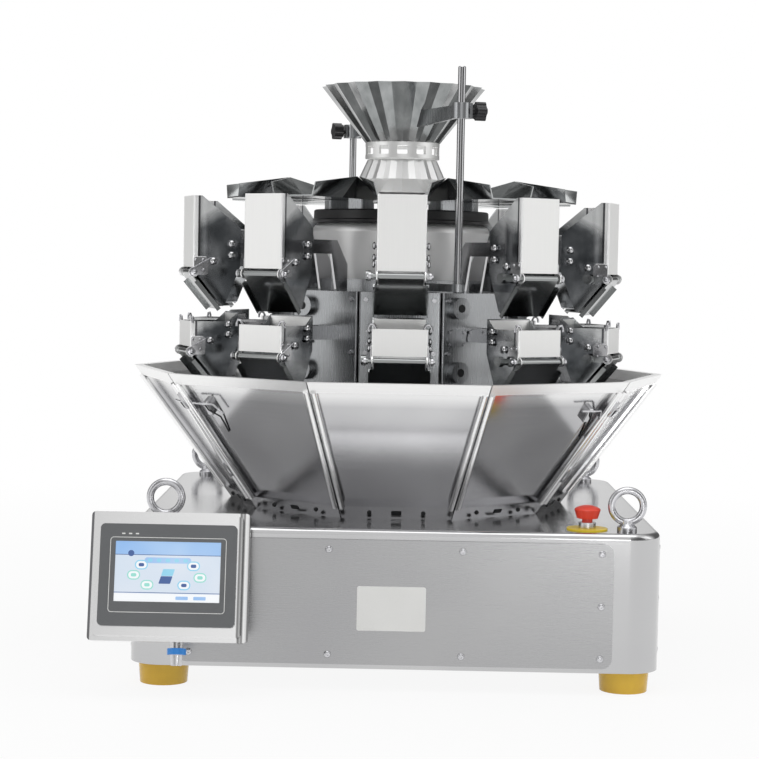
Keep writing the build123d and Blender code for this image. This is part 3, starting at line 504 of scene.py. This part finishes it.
# %% Helpers that make meshes
def in_metres(points):
    """Points in millimetres, flat or solid, as metres."""
    return [tuple(value * MM for value in point) for point in points]


def spun(profile, steps=24):
    """A body from (radius, height) pairs; it closes on the axis, or on its first pair to make a ring."""
    body = bmesh.new()
    rings = []
    for radius, height in profile:
        if radius == 0:
            rings.append([body.verts.new((0, 0, height))])
            continue
        turns = [2 * pi * step / steps for step in range(steps)]
        rings.append([body.verts.new((radius * cos(turn), radius * sin(turn), height)) for turn in turns])
    ring_shut = [] if profile[0][0] == 0 else rings[:1]
    for lower, upper in zip(rings, rings[1:] + ring_shut):
        for step in range(steps):
            after = (step + 1) % steps
            corners = [lower[step % len(lower)], lower[after % len(lower)]]
            corners += [upper[after % len(upper)], upper[step % len(upper)]]
            body.faces.new(list(dict.fromkeys(corners)))
    bmesh.ops.recalc_face_normals(body, faces=body.faces)
    return body


def bridge(body, rings):
    """Faces between each ring of points and the next one."""
    for lower, upper in zip(rings, rings[1:]):
        for step in range(len(lower)):
            after = (step + 1) % len(lower)
            body.faces.new((lower[step], lower[after], upper[after], upper[step]))


def outline(width, height, corner, steps=6):
    """Points round a rectangle with rounded corners, centred on the origin."""
    points = []
    for quarter, (side_x, side_y) in enumerate(((1, 1), (-1, 1), (-1, -1), (1, -1))):
        for step in range(steps + 1):
            turn = (quarter + step / steps) * pi / 2
            points.append((
                side_x * (width / 2 - corner) + corner * cos(turn),
                side_y * (height / 2 - corner) + corner * sin(turn),
            ))
    return points


def plate(width, height, thick, corner, soft=0.0):
    """A rounded plate that lies on Z = 0, with a soft upper edge."""
    body = bmesh.new()
    levels = [(0, 0), (0, thick - soft), (soft, thick)] if soft else [(0, 0), (0, thick)]
    rings = []
    for inset, level in levels:
        points = outline(width - 2 * inset, height - 2 * inset, max(corner - inset, corner / 4))
        rings.append([body.verts.new((x, y, level)) for x, y in points])
    bridge(body, rings)
    body.faces.new(rings[-1])
    body.faces.new(rings[0][::-1])
    return body


def band(width, height, wide, thick, corner):
    """A closed strip that follows a rounded rectangle, lying on Z = 0."""
    body = bmesh.new()
    outer = outline(width, height, corner)
    inner = outline(width - 2 * wide, height - 2 * wide, corner - wide)
    rings = [
        [body.verts.new((x, y, level)) for x, y in points]
        for points, level in ((outer, 0), (outer, thick), (inner, thick), (inner, 0))
    ]
    bridge(body, rings + rings[:1])
    bmesh.ops.recalc_face_normals(body, faces=body.faces)
    return body


def tube(points, radius, steps=10):
    """A round bar bent along a list of points."""
    body = bmesh.new()
    path = [Vector(point) for point in points]
    rings = []
    for number, point in enumerate(path):
        ahead = (path[min(number + 1, len(path) - 1)] - path[max(number - 1, 0)]).normalized()
        turn = ahead.to_track_quat("Z", "Y")
        rings.append([
            body.verts.new(point + turn @ Vector((radius * cos(a), radius * sin(a), 0)))
            for a in (2 * pi * step / steps for step in range(steps))
        ])
    bridge(body, rings)
    body.faces.new(rings[0][::-1])
    body.faces.new(rings[-1])
    bmesh.ops.recalc_face_normals(body, faces=body.faces)
    return body


def joined(name, body, places, material, rides="frame", smooth=40):
    """One object from many placed copies of a body."""
    whole = bmesh.new()
    shape = bpy.data.meshes.new(name)
    body.to_mesh(shape)
    body.free()
    for place in places:
        start = len(whole.verts)
        whole.from_mesh(shape)
        whole.verts.ensure_lookup_table()
        bmesh.ops.transform(whole, matrix=place, verts=whole.verts[start:])
    whole.to_mesh(shape)
    whole.free()
    piece = bpy.data.objects.new(name, shape)
    bpy.context.scene.collection.objects.link(piece)
    shape.materials.append(material)
    shape.shade_smooth()
    shape.set_sharp_from_angle(angle=radians(smooth))
    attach(piece, rides)
    print(name, "copies:", len(places), "faces:", len(shape.polygons))
    return piece


def seat(origin, right, up):
    """A place whose X runs right and whose Y runs up along a surface."""
    right = Vector(right).normalized()
    up = Vector(up).normalized()
    out = right.cross(up)
    turn = Matrix((right, up, out)).transposed().to_4x4()
    return Matrix.Translation(origin) @ turn


print("mesh helpers ready")

# %% [markdown]
# ## Screws in the service panels
#
# Each side of the base is closed by a plate held with button-head screws: four along the top, four along
# the bottom and one in the middle of each end. A button head is a low dome with a six-sided socket. The
# profile dips in its middle for the socket, and one joined mesh holds all of them.

# %% Panel screws
panel_low, panel_high = (Vector(corner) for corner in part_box("service_panels"))
panel_middle = (panel_low + panel_high) / 2
panel_half = (panel_high - panel_low) / 2
SCREW_SPOTS = [(x, z) for x in (-308, -100, 100, 308) for z in (-79, 79)] + [(-308, 0), (308, 0)]
button_head = [(0, 0.9), (1.9, 0.9), (2.1, 2.6), (3.0, 2.7), (4.4, 2.0), (5.2, 0.9), (5.4, 0), (0, 0)]
screw = spun(in_metres(button_head), 18)
places = []
for side in range(4):
    outward = Vector((sin(side * pi / 2), -cos(side * pi / 2), 0))
    along = Vector((cos(side * pi / 2), sin(side * pi / 2), 0))
    face = panel_middle + Vector((outward.x * panel_half.x, outward.y * panel_half.y, 0))
    for across, high in SCREW_SPOTS:
        places.append(seat(face + along * across * MM + Vector((0, 0, high * MM)), along, (0, 0, 1)))
joined("panel_screws", screw, places, zinc)

# %% Bare plate on the front panel
PLATE_LEFT = 5.4
PLATE_HIGH = 126
plate_place = seat(Vector((AXIS.x - PLATE_LEFT * MM, panel_low.y, PLATE_HIGH * MM)), (1, 0, 0), (0, 0, 1))
joined("front_plate", plate(103 * MM, 67 * MM, 0.6 * MM, 3 * MM, 0.2 * MM), [plate_place], white_lacquer)

# %% [markdown]
# ## Touch screen
#
# The panel leans back. A thin pale line runs round the dark bezel, with three tiny lamps at its top left.
# The picture on the glass is a plain menu: a blue header, round keys about a machine symbol and a bar
# below. Each item is a very thin plate with a glowing finish, stacked by fractions of a millimetre.

# %% Where the screen is
BEZEL_DEPTH = 6
DISPLAY_SINK = 1.5
DISPLAY_LIFT = 5
screen_up = Vector((0, sin(SCREEN_TILT), cos(SCREEN_TILT)))
screen_out = Vector((0, -cos(SCREEN_TILT), sin(SCREEN_TILT)))
bezel_face = middle_of("touch_screen") + screen_out * BEZEL_DEPTH / 2 * MM


def on_screen(x, y, lift, sink=DISPLAY_SINK):
    """A place on the display, x and y in millimetres from its middle, lifted off it by a little."""
    point = bezel_face + Vector((x * MM, 0, 0)) + screen_up * (y + DISPLAY_LIFT) * MM
    return seat(point + screen_out * (lift - sink) * MM, (1, 0, 0), screen_up)


print("the bezel's face is at", [round(value, 3) for value in bezel_face])


# %% Glowing finishes for the picture
UNLIT = 0.2


def glowing(name, first, second, strength):
    """A screen colour that drifts across the display."""
    finish = Finish(name, Roughness=0.25, Emission_Strength=strength)
    drift = finish.noise(14.0, 1.0)
    dim = [tuple(UNLIT * part for part in colour) for colour in (first, second)]
    finish.feed("Base Color", finish.blend(drift, *dim))
    finish.feed("Emission Color", finish.blend(drift, first, second))
    return finish.material


sky = glowing("screen_sky", (0.66, 0.78, 0.92), (0.84, 0.88, 0.95), 0.75)
header_blue = glowing("screen_header", (0.22, 0.45, 0.85), (0.55, 0.72, 0.93), 0.8)
key_blue = glowing("screen_key", (0.22, 0.60, 0.85), (0.40, 0.75, 0.90), 0.8)
key_green = glowing("screen_green", (0.25, 0.70, 0.62), (0.45, 0.82, 0.72), 0.8)
key_white = glowing("screen_white", (0.90, 0.94, 0.98), (0.98, 0.99, 1.0), 0.8)
symbol_blue = glowing("screen_symbol", (0.05, 0.10, 0.30), (0.12, 0.22, 0.50), 0.7)
print("screen colours made")

# %% Films that lie on the glass
DISPLAY_WIDE = 154
DISPLAY_TALL = 88
FILM = 0.2
KEY_WIDE = 19
KEY_TALL = 14
KEY_CORNER = 6.9
KEY_RIM = 1.7


def film(wide, tall, corner):
    """A thin rounded plate, in millimetres."""
    return plate(wide * MM, tall * MM, FILM * MM, corner * MM)


def key_rim():
    """The coloured rim round a key."""
    return band(KEY_WIDE * MM, KEY_TALL * MM, KEY_RIM * MM, FILM * MM, KEY_CORNER * MM)


def shown(name, shape, spots, material, layer=1):
    """A film on the display: layer says how many films lie under it."""
    return joined(name, shape, [on_screen(x, y, FILM * layer) for x, y in spots], material)


shown("screen_field", film(DISPLAY_WIDE, DISPLAY_TALL, 0.5), [(0, 0)], sky, 0)
shown("screen_header", film(DISPLAY_WIDE, 19, 0.5), [(0, 34.5)], header_blue)
shown("screen_rule", film(DISPLAY_WIDE, 1, 0.4), [(0, 24.4), (0, -30.8)], symbol_blue)
shown("screen_footer", film(DISPLAY_WIDE, 12, 0.5), [(0, -38)], key_white)

# %% The keys of the menu
LEFT_KEYS = ((-38.5, 9.7), (37.7, 8.8), (24.6, -19.4))
RIGHT_KEYS = ((-49.3, -5.3), (47.7, -7.9), (-29.3, -19.4))
STEPS_HIGH = 16.5
shown("screen_keys", film(KEY_WIDE, KEY_TALL, KEY_CORNER), LEFT_KEYS + RIGHT_KEYS, key_white)
shown("screen_key_rings", key_rim(), LEFT_KEYS, key_blue, 2)
shown("screen_key_rims", key_rim(), RIGHT_KEYS, key_green, 2)
shown("screen_key_signs", film(8, 5, 2), LEFT_KEYS, symbol_blue, 2)
shown("screen_key_marks", film(8, 5, 2), RIGHT_KEYS, key_green, 2)
shown("screen_steps_bed", film(68, 8.4, 4.1), [(0, STEPS_HIGH)], header_blue)
shown("screen_steps", film(7, 5, 2.4), [(x, STEPS_HIGH) for x in range(-26, 31, 13)], key_blue, 2)

# %% The machine symbol, a drop and two tabs
SLANT = 0.3
slant = Matrix(((1, SLANT, 0, 0), (0, 1, 0, 0), (0, 0, 1, 0), (0, 0, 0, 1)))
SYMBOL_PARTS = (("screen_machine_foot", -12, 11, symbol_blue), ("screen_machine_head", -1, 10, key_blue))
for name, y, tall, material in SYMBOL_PARTS:
    joined(name, film(17, tall, 1), [on_screen(y * SLANT + 1, y, FILM) @ slant], material)
shown("screen_drop", film(9, 9, 4.4), [(-54, 26.4)], symbol_blue, 2)
shown("screen_tabs", film(18, 5, 1), [(22, -38.2), (48, -38.2)], header_blue, 2)

# %% Marks on the bezel
LAMPS_HIGH = 60
bezel_middle = [on_screen(0, -DISPLAY_LIFT, 0, 0)]
joined("bezel_line", band(170 * MM, 110 * MM, 0.9 * MM, FILM * MM, 5 * MM), bezel_middle, white_lacquer)
lamp_spots = [on_screen(x, LAMPS_HIGH - DISPLAY_LIFT, 0, 0) for x in (-66, -56, -46)]
joined("bezel_lamps", film(5, 2, 0.9), lamp_spots, white_lacquer)

# %% [markdown]
# ## Fittings on the collecting funnel
#
# Each of the ten panels leans outward like the side of a bucket. One helper finds a place on the slanting
# outside of any panel, so each fitting is made once and repeated. The panels end in flanges that stand out
# along the seams, and a pale hem is rolled round the edge of each flange: a thin tube from foot to rim.

# %% Places round the axis
FLAT_SHARE = cos(HEAD_STEP / 2)
FUNNEL_FOOT_R = 264
FUNNEL_RIM_R = 430
FUNNEL_FOOT = 244
FUNNEL_RIM = 464
FUNNEL_SLOPE = (FUNNEL_RIM_R - FUNNEL_FOOT_R) * FLAT_SHARE / (FUNNEL_RIM - FUNNEL_FOOT)
FUNNEL_LEAN = atan(FUNNEL_SLOPE)
FUNNEL_SHEET = 2.5
FUNNEL_FLANGE = 14


def ways(head):
    """The directions outward and sideways at one head."""
    turn = FRONT + head * HEAD_STEP
    return Vector((cos(turn), sin(turn), 0)), Vector((-sin(turn), cos(turn), 0))


def round_the_axis(head, out, across, high, lean=0.0):
    """A place that faces outward at one head, in millimetres from the axis, and leans outward at its top."""
    outward, along = ways(head)
    point = AXIS + outward * out * MM + along * across * MM + Vector((0, 0, high * MM))
    return seat(point, along, Vector((0, 0, cos(lean))) + outward * sin(lean))


def funnel_flat(high):
    """How far the middle of a funnel panel stands from the axis at some height."""
    return FUNNEL_FOOT_R * FLAT_SHARE + (high - FUNNEL_FOOT) * FUNNEL_SLOPE


def on_funnel(head, across, high, proud):
    """A place on the outside of a funnel panel, some millimetres outside its inner face."""
    return round_the_axis(head, funnel_flat(high) + proud, across, high, FUNNEL_LEAN)


print("the funnel's foot is at", FUNNEL_FOOT, "mm and its rim at", FUNNEL_RIM, "mm")

# %% Hemmed edges along the funnel's seams
HEM_R = 4.6
HEM_IN = 6
HEM_ENDS = (262, 449)
hems = bmesh.new()
for head in range(HEADS):
    for side in (-1, 1):
        ends = []
        for high in HEM_ENDS:
            half = (funnel_flat(high) + FUNNEL_FLANGE) * tan(HEAD_STEP / 2) - HEM_IN
            ends.append(on_funnel(head, side * half, high, FUNNEL_FLANGE).translation)
        hem = tube(ends, HEM_R * MM, 12)
        strip = bpy.data.meshes.new("hem")
        hem.to_mesh(strip)
        hem.free()
        hems.from_mesh(strip)
joined("funnel_hems", hems, [Matrix.Identity(4)], door_steel)

# %% [markdown]
# ## Bolts, hinges and latches of the funnel
#
# The foot of each panel is a skirt with two bolts and a slot. Some of the panels open like doors: they meet
# at a seam with hinge barrels and are held shut by small toggle latches. A latch is a soft-edged block with a
# bar handle across it, bent down at its end, and a thin link that hooks over the edge below.

# %% Bolts and slots in the skirt
SKIRT_HIGH = 254
BOLT_ACROSS = 42
bolt_profile = [(0, 2.4), (2.6, 2.4), (3.4, 1.6), (3.6, 0), (0, 0)]
bolt_spots = [
    on_funnel(head, side * BOLT_ACROSS, SKIRT_HIGH, FUNNEL_FLANGE)
    for head in range(HEADS) for side in (-1, 1)
]
joined("skirt_bolts", spun(in_metres(bolt_profile), 12), bolt_spots, dark_gap)
# The slots are thin dark plates that paint the shade inside them.
slot_spots = [on_funnel(head, 0, SKIRT_HIGH, FUNNEL_FLANGE) for head in range(HEADS)]
joined("skirt_slots", plate(16 * MM, 8 * MM, 0.4 * MM, 1.5 * MM), slot_spots, dark_gap)

# %% Hinge barrels at the door seams
SEAM_HEADS = (1.5, -1.5, 3.5, -3.5)
BARREL_HIGHS = (300, 410)
BARREL_PROUD = 17
BARREL_LEAN = FUNNEL_LEAN + radians(1.5)
barrel_profile = [(0, 0), (4, 0), (4.4, 1), (4.4, 27), (4, 28), (0, 28)]
stood_up = Matrix.Rotation(-pi / 2, 4, "X")
barrel_spots = [
    round_the_axis(head, funnel_flat(high) / FLAT_SHARE + BARREL_PROUD, 0, high, BARREL_LEAN) @ stood_up
    for head in SEAM_HEADS for high in BARREL_HIGHS
]
joined("hinge_barrels", spun(in_metres(barrel_profile), 14), barrel_spots, mirror_steel)

# %% Toggle latches beside the seams
LATCH_OFF = 88
LATCH_UP = 415
HANDLE_R = 1.6
LINK_R = 1.3
latch_spots = [
    on_funnel(head + side * 0.5, -side * LATCH_OFF, LATCH_UP, FUNNEL_SHEET)
    for head in SEAM_HEADS for side in (-1, 1)
]
handle_points = [(-22, 13, 12), (0, 13, 13), (15, 13, 12), (18, 11, 11), (27, -8, 8)]
link_points = [(0, 12, 11), (3, 0, 11), (14, -18, 4), (14, -50, 1.5)]
joined("latch_bodies", plate(11 * MM, 26 * MM, 9 * MM, 2 * MM, 1.5 * MM), latch_spots, mirror_steel)
joined("latch_handles", tube(in_metres(handle_points), HANDLE_R * MM), latch_spots, zinc)
joined("latch_links", tube(in_metres(link_points), LINK_R * MM, 8), latch_spots, dark_gap)

# %% [markdown]
# ## Bolts on the drive units and hoppers
# The faces of the drive units carry cap screws, and each turning shaft has a socket in its end, drawn as a
# thin dark plate that paints the shade inside it. The hopper's hinge pins end in small domed nuts on both
# sides.
# These bright dots make the crowded look of the middle of the machine.

# %% Drive unit screws
DRIVE_FACE = 205
SHAFT_PROUD = 12
SHAFT_ACROSS = -36
COVER_PROUD = 2
DRIVE_SPOTS = [(across, high) for across in (-54, 54) for high in (412, 500, 584)]
COVER_SPOTS = [(across, high) for across in (-52, -24) for high in (514, 534)]
cap_profile = [(0, 1.5), (1.6, 1.5), (1.7, 4.0), (3.6, 4.0), (4.0, 3.4), (4.0, 0), (0, 0)]
small_cap_profile = [(radius * 0.55, height * 0.5) for radius, height in cap_profile]


def on_drives(spots, proud=0):
    """A place at each spot, across and high, on the face of all ten drive units."""
    return [round_the_axis(head, DRIVE_FACE + proud, *spot) for head in range(HEADS) for spot in spots]


joined("drive_screws", spun(in_metres(cap_profile), 14), on_drives(DRIVE_SPOTS), zinc)
# Thin dark plates on the shaft ends paint the shade inside their sockets.
shaft_spots = on_drives([(SHAFT_ACROSS, 470), (SHAFT_ACROSS, 572)], SHAFT_PROUD)
joined("shaft_sockets", plate(13 * MM, 13 * MM, 0.5 * MM, 6.4 * MM), shaft_spots, dark_gap)
joined("cover_screws", spun(in_metres(small_cap_profile), 12), on_drives(COVER_SPOTS, COVER_PROUD), zinc)

# %% Where the gates turn
GATE_OUT = {"feed_gate": 362, "weigh_gate": 366}
GATE_HIGH = {"feed_gate": 622, "weigh_gate": 494}
GATE_HALF = {"feed_gate": 37.5, "weigh_gate": 42.5}


def across_seat(head, out, high, off):
    """A place that faces sideways at one head; off is its distance from the head's middle, to either side."""
    outward, along = ways(head)
    upright = Vector((0, 0, 1))
    point = AXIS + outward * out * MM + along * off * MM + upright * high * MM
    return seat(point, upright, (along * off).cross(upright))


def beside_pin(kind, head, back, rise, off):
    """A place that faces sideways, some millimetres behind and above the hinge pin of a gate."""
    return across_seat(head, GATE_OUT[kind] - back, GATE_HIGH[kind] + rise, off)


print("hinge pins at", GATE_HIGH)

# %% Nuts on the gates' hinge pins
PIN_END = 5
CRANK_SHEET = 3
nut_profile = [(0, 6.5), (2.2, 6.0), (3.4, 4.4), (3.8, 3.4), (6.0, 3.2), (6.2, 0), (0, 0)]
for kind, half in GATE_HALF.items():
    for head in range(HEADS):
        gate = f"{kind}_{head + 1:02d}"
        ends = [beside_pin(kind, head, 0, 0, off) for off in (half + PIN_END, -half - PIN_END - CRANK_SHEET)]
        joined(gate + "_nuts", spun(in_metres(nut_profile), 12), ends, zinc, gate)

# %% [markdown]
# ## Lugs and springs at the hinge pins
#
# A hopper's hinge pin is carried by a lug on each side: a rounded plate of thin sheet, held by three rivets.
# On one side a light torsion spring is wound round the pin and its leg presses the gate shut. The spring is
# a helix of a few points, continued by a straight leg, and one round wire is swept along all of them.

# %% Riveted lugs that carry the hinge pins
LUG_TALL = 30
LUG_DEEP = 24
LUG_SHEET = 1.4
LUG_UP = 10
LUG_IN = 12
RIVET_SPOTS = ((3, 20), (15, 20), (16, 4))
rivet_profile = [(0, 1.6), (1.4, 1.4), (2.2, 0.6), (2.3, 0), (0, 0)]
lugs = []
rivets = []
for kind, half in GATE_HALF.items():
    for head in range(HEADS):
        for side in (-1, 1):
            lugs.append(beside_pin(kind, head, LUG_IN, LUG_UP, side * half))
            for back, rise in RIVET_SPOTS:
                rivets.append(beside_pin(kind, head, back, rise, side * (half + LUG_SHEET)))
lug = plate(LUG_TALL * MM, LUG_DEEP * MM, LUG_SHEET * MM, 5 * MM, 0.4 * MM)
joined("hinge_lugs", lug, lugs, mirror_steel)
joined("lug_rivets", spun(in_metres(rivet_profile), 10), rivets, zinc)

# %% Springs on the hinge pins
SPRING_R = 6.8
SPRING_WIRE = 0.55
SPRING_TURNS = 2
SPRING_STEPS = 12
COIL_FROM = 2.0
COIL_TALL = 2.2
LEG_DROP = 1.6
LEG_SHARES = (0.4, 0.98)
LEG_WAY = Vector((18, -32, 0))
coil_start = Vector((32, 18, 0)).normalized()
first_turn = atan2(coil_start.y, coil_start.x)
last_step = SPRING_STEPS * SPRING_TURNS
wire_points = []
for step in range(last_step + 1):
    turn = first_turn + step * 2 * pi / SPRING_STEPS
    wire_points.append((SPRING_R * cos(turn), SPRING_R * sin(turn), COIL_FROM + COIL_TALL * step / last_step))
for share in LEG_SHARES:
    away = coil_start * SPRING_R + LEG_WAY * share
    wire_points.append((away.x, away.y, COIL_FROM + COIL_TALL - LEG_DROP * share))
spring = tube(in_metres(wire_points), SPRING_WIRE * MM, 6)
spring_spots = [
    beside_pin(kind, head, 0, 0, half)
    for kind, half in GATE_HALF.items() for head in range(HEADS)
]
joined("gate_springs", spring, spring_spots, zinc)

# %% [markdown]
# ## The seal on the drum
#
# A dark band of shade shows between the drum and the feeder pans. It is painted by a black ring that sits on
# the drum. Its section is a closed loop away from the axis, so the helper that turns screws makes a ring of
# it.

# %% Black ring of painted shade on the drum
SHADE_RING_STEPS = 72
shade_ring_profile = [(147, 0), (148.4, 2), (148.4, 5), (146.6, 7), (146.2, 20), (144, 22), (141, 21), (141, 0)]
_, drum_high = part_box("drum")
shade_ring_spot = Matrix.Translation(AXIS + Vector((0, 0, drum_high[2])))
joined("drum_shade_ring", spun(in_metres(shade_ring_profile), SHADE_RING_STEPS), [shade_ring_spot], black_plastic)

# %% [markdown]
# ## Hooks that hold the hoppers
#
# A hopper lifts off for washing. Bent wire hooks at its top corners hang it on its hanger, and a round pin
# with a head on each side keeps it from swinging. A hook is a thin bar swept along a few points, and its
# mirror image stands at the other corner. A pin is a turned profile, like the screws.

# %% Wire hooks
HOOK_R = 2
HOOK_OUT = 362
HOOK_HIGH = 540
HOOK_OFF = 36
hook_points = [(0, -10, 2.5), (0, 4, 2.5), (3, 9, 2.5), (9, 10, 2.5), (12, 5, 2.5), (12, 0, 2.5)]
hook_spots = [
    round_the_axis(head, HOOK_OUT, side * HOOK_OFF, HOOK_HIGH) @ Matrix.Diagonal((side, 1, 1, 1))
    for head in range(HEADS) for side in (-1, 1)
]
joined("weigh_hooks", tube(in_metres(hook_points), HOOK_R * MM, 8), hook_spots, zinc)

# %% Side pins
SIDE_PINS = {
    "feed_side_pins": ((300, 668, 37.5), (300, 650, 37.5), (330, 640, 37.5)),
    "weigh_side_pins": ((304, 538, 42.5), (304, 522, 42.5), (334, 512, 42.5)),
}
pin_profile = [(0, 7.0), (3.0, 6.8), (5.2, 5.6), (6.0, 4.0), (5.2, 2.8), (3.2, 2.2), (3.0, 0), (0, 0)]
for name, pins in SIDE_PINS.items():
    spots = [
        across_seat(head, out, high, side * half)
        for head in range(HEADS) for side in (-1, 1) for out, high, half in pins
    ]
    joined(name, spun(in_metres(pin_profile), 14), spots, mirror_steel)

# %% [markdown]
# ## The studio
#
# Steel shows what stands round it, so the studio matters as much as the metal. A white floor and sky are
# what the camera and the reflections see; a calmer grey lights the matt surfaces. The corners of the sky are
# darker in reflections, as the gaps between white cards are, and so give the steel something to show. Large
# soft lamps above and to both sides draw the bright bands on the folds.

# %% Floor
NEAR_SHARE = 0.88
FAR_FROM = 0.6
FAR_SLOPE = 0.5


def seen_rays(finish):
    """1 for rays from the camera, a reflection or glass, and 0 for those that light matt faces."""
    camera_ray, glossy_ray, glass_ray = finish.rays("Camera", "Glossy", "Transmission")
    return finish.clamped(camera_ray + glossy_ray + glass_ray, 0, 1)


floor_finish = Finish("floor_white", Roughness=0.6)
cloudy = floor_finish.blend(floor_finish.noise(1.2), (0.90, 0.90, 0.90), (0.93, 0.93, 0.93))
floor_finish.feed("Base Color", cloudy)
distance = floor_finish.vectors("LENGTH", floor_finish.place(), output="Value")
glow = NEAR_SHARE + (1 - NEAR_SHARE) * floor_finish.beyond(distance, FAR_FROM, FAR_SLOPE)
matt = Wire(floor_finish, floor_finish.shader.outputs[0])
bright = floor_finish.node("ShaderNodeEmission", {}, {"Color": (1, 1, 1, 1)})
share = seen_rays(floor_finish) * glow
surface = floor_finish.node("ShaderNodeMixShader", {}, {0: share, 1: matt, 2: bright})
floor_finish.tree.links.new(surface.socket, floor_finish.tree.nodes["Material Output"].inputs["Surface"])
FLOOR_HALF = 14.0
floor_mesh = bpy.data.meshes.new("floor")
sheet = bmesh.new()
bmesh.ops.create_grid(sheet, x_segments=8, y_segments=8, size=FLOOR_HALF)
sheet.to_mesh(floor_mesh)
sheet.free()
floor = bpy.data.objects.new("floor", floor_mesh)
floor_mesh.materials.append(floor_finish.material)
bpy.context.scene.collection.objects.link(floor)
floor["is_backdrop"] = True
print("floor laid")

# %% World
MATT_SKY = 0.62
DARKEST_CORNER = 0.14
world = bpy.data.worlds.new("studio")
bpy.context.scene.world = world
world.use_nodes = True
studio = Tree(world.node_tree)
side_way, front_way, _ = studio.apart(studio.node("ShaderNodeTexCoord", output="Generated"))
corner_dark = 4 * (side_way * side_way) * (front_way * front_way)
cards = DARKEST_CORNER + (1 - DARKEST_CORNER) * (1 - corner_dark) ** 6
camera_ray, glossy_ray = studio.rays("Camera", "Glossy")
other_rays = (1 - camera_ray) * (1 - glossy_ray)
strength = studio.clamped(camera_ray + glossy_ray * cards + other_rays * MATT_SKY, 0, 1)
background = studio.tree.nodes["Background"]
background.inputs["Color"].default_value = (1, 1, 1, 1)
studio.tree.links.new(strength.socket, background.inputs["Strength"])
print("studio walls made")


# %% Lamps
def lamp(name, place, aim, wide, tall, watts):
    """A soft rectangular lamp that looks at a point."""
    light = bpy.data.lights.new(name, "AREA")
    light.shape = "RECTANGLE"
    light.size = wide
    light.size_y = tall
    light.energy = watts
    held = bpy.data.objects.new(name, light)
    held.location = place
    held.rotation_euler = (Vector(aim) - Vector(place)).to_track_quat("-Z", "Y").to_euler()
    bpy.context.scene.collection.objects.link(held)
    print(name, watts, "watts")


MIDDLE = (0, 0, 0.5)
lamp("lamp_top", (0, -0.6, 2.8), MIDDLE, 2.4, 1.8, 20)
lamp("lamp_left", (-2.6, -1.4, 1.4), MIDDLE, 1.2, 2.2, 10)
lamp("lamp_right", (2.6, -1.0, 1.6), MIDDLE, 1.2, 2.2, 8)
lamp("lamp_low", (0.66, -2.9, 0.26), (0.3, -0.4, 0.16), 0.4, 0.3, 3)

# %% [markdown]
# ## The camera
#
# The photograph was taken with a long lens from a little over half the machine's height, looking slightly
# down and a touch to the left, with the camera tilted by about one degree.

# %% Camera
CAMERA_PLACE = Vector((-15.6, -3400.7, 639.2)) * MM
CAMERA_DOWN = radians(3.25)
CAMERA_LEFT = radians(0.263)
CAMERA_ROLL = radians(1.08)
SENSOR = 36.0
FOCAL_PIXELS = 2021.6
PHOTO_PIXELS = 759
lens = bpy.data.cameras.new("camera")
lens.sensor_width = SENSOR
lens.lens = FOCAL_PIXELS / PHOTO_PIXELS * SENSOR
lens.clip_end = 60
camera = bpy.data.objects.new("camera", lens)
camera.matrix_world = (
    Matrix.Translation(AXIS + CAMERA_PLACE) @ Matrix.Rotation(CAMERA_LEFT, 4, "Z")
    @ Matrix.Rotation(pi / 2 - CAMERA_DOWN, 4, "X") @ Matrix.Rotation(CAMERA_ROLL, 4, "Z")
)
bpy.context.scene.collection.objects.link(camera)
bpy.context.scene.camera = camera
bpy.context.scene.view_settings.view_transform = "Standard"
print("lens", round(lens.lens, 1), "mm")

# %% Print the sizes and finish
low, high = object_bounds()
print("visual box:", [round(b - a, 3) for a, b in zip(low, high)])
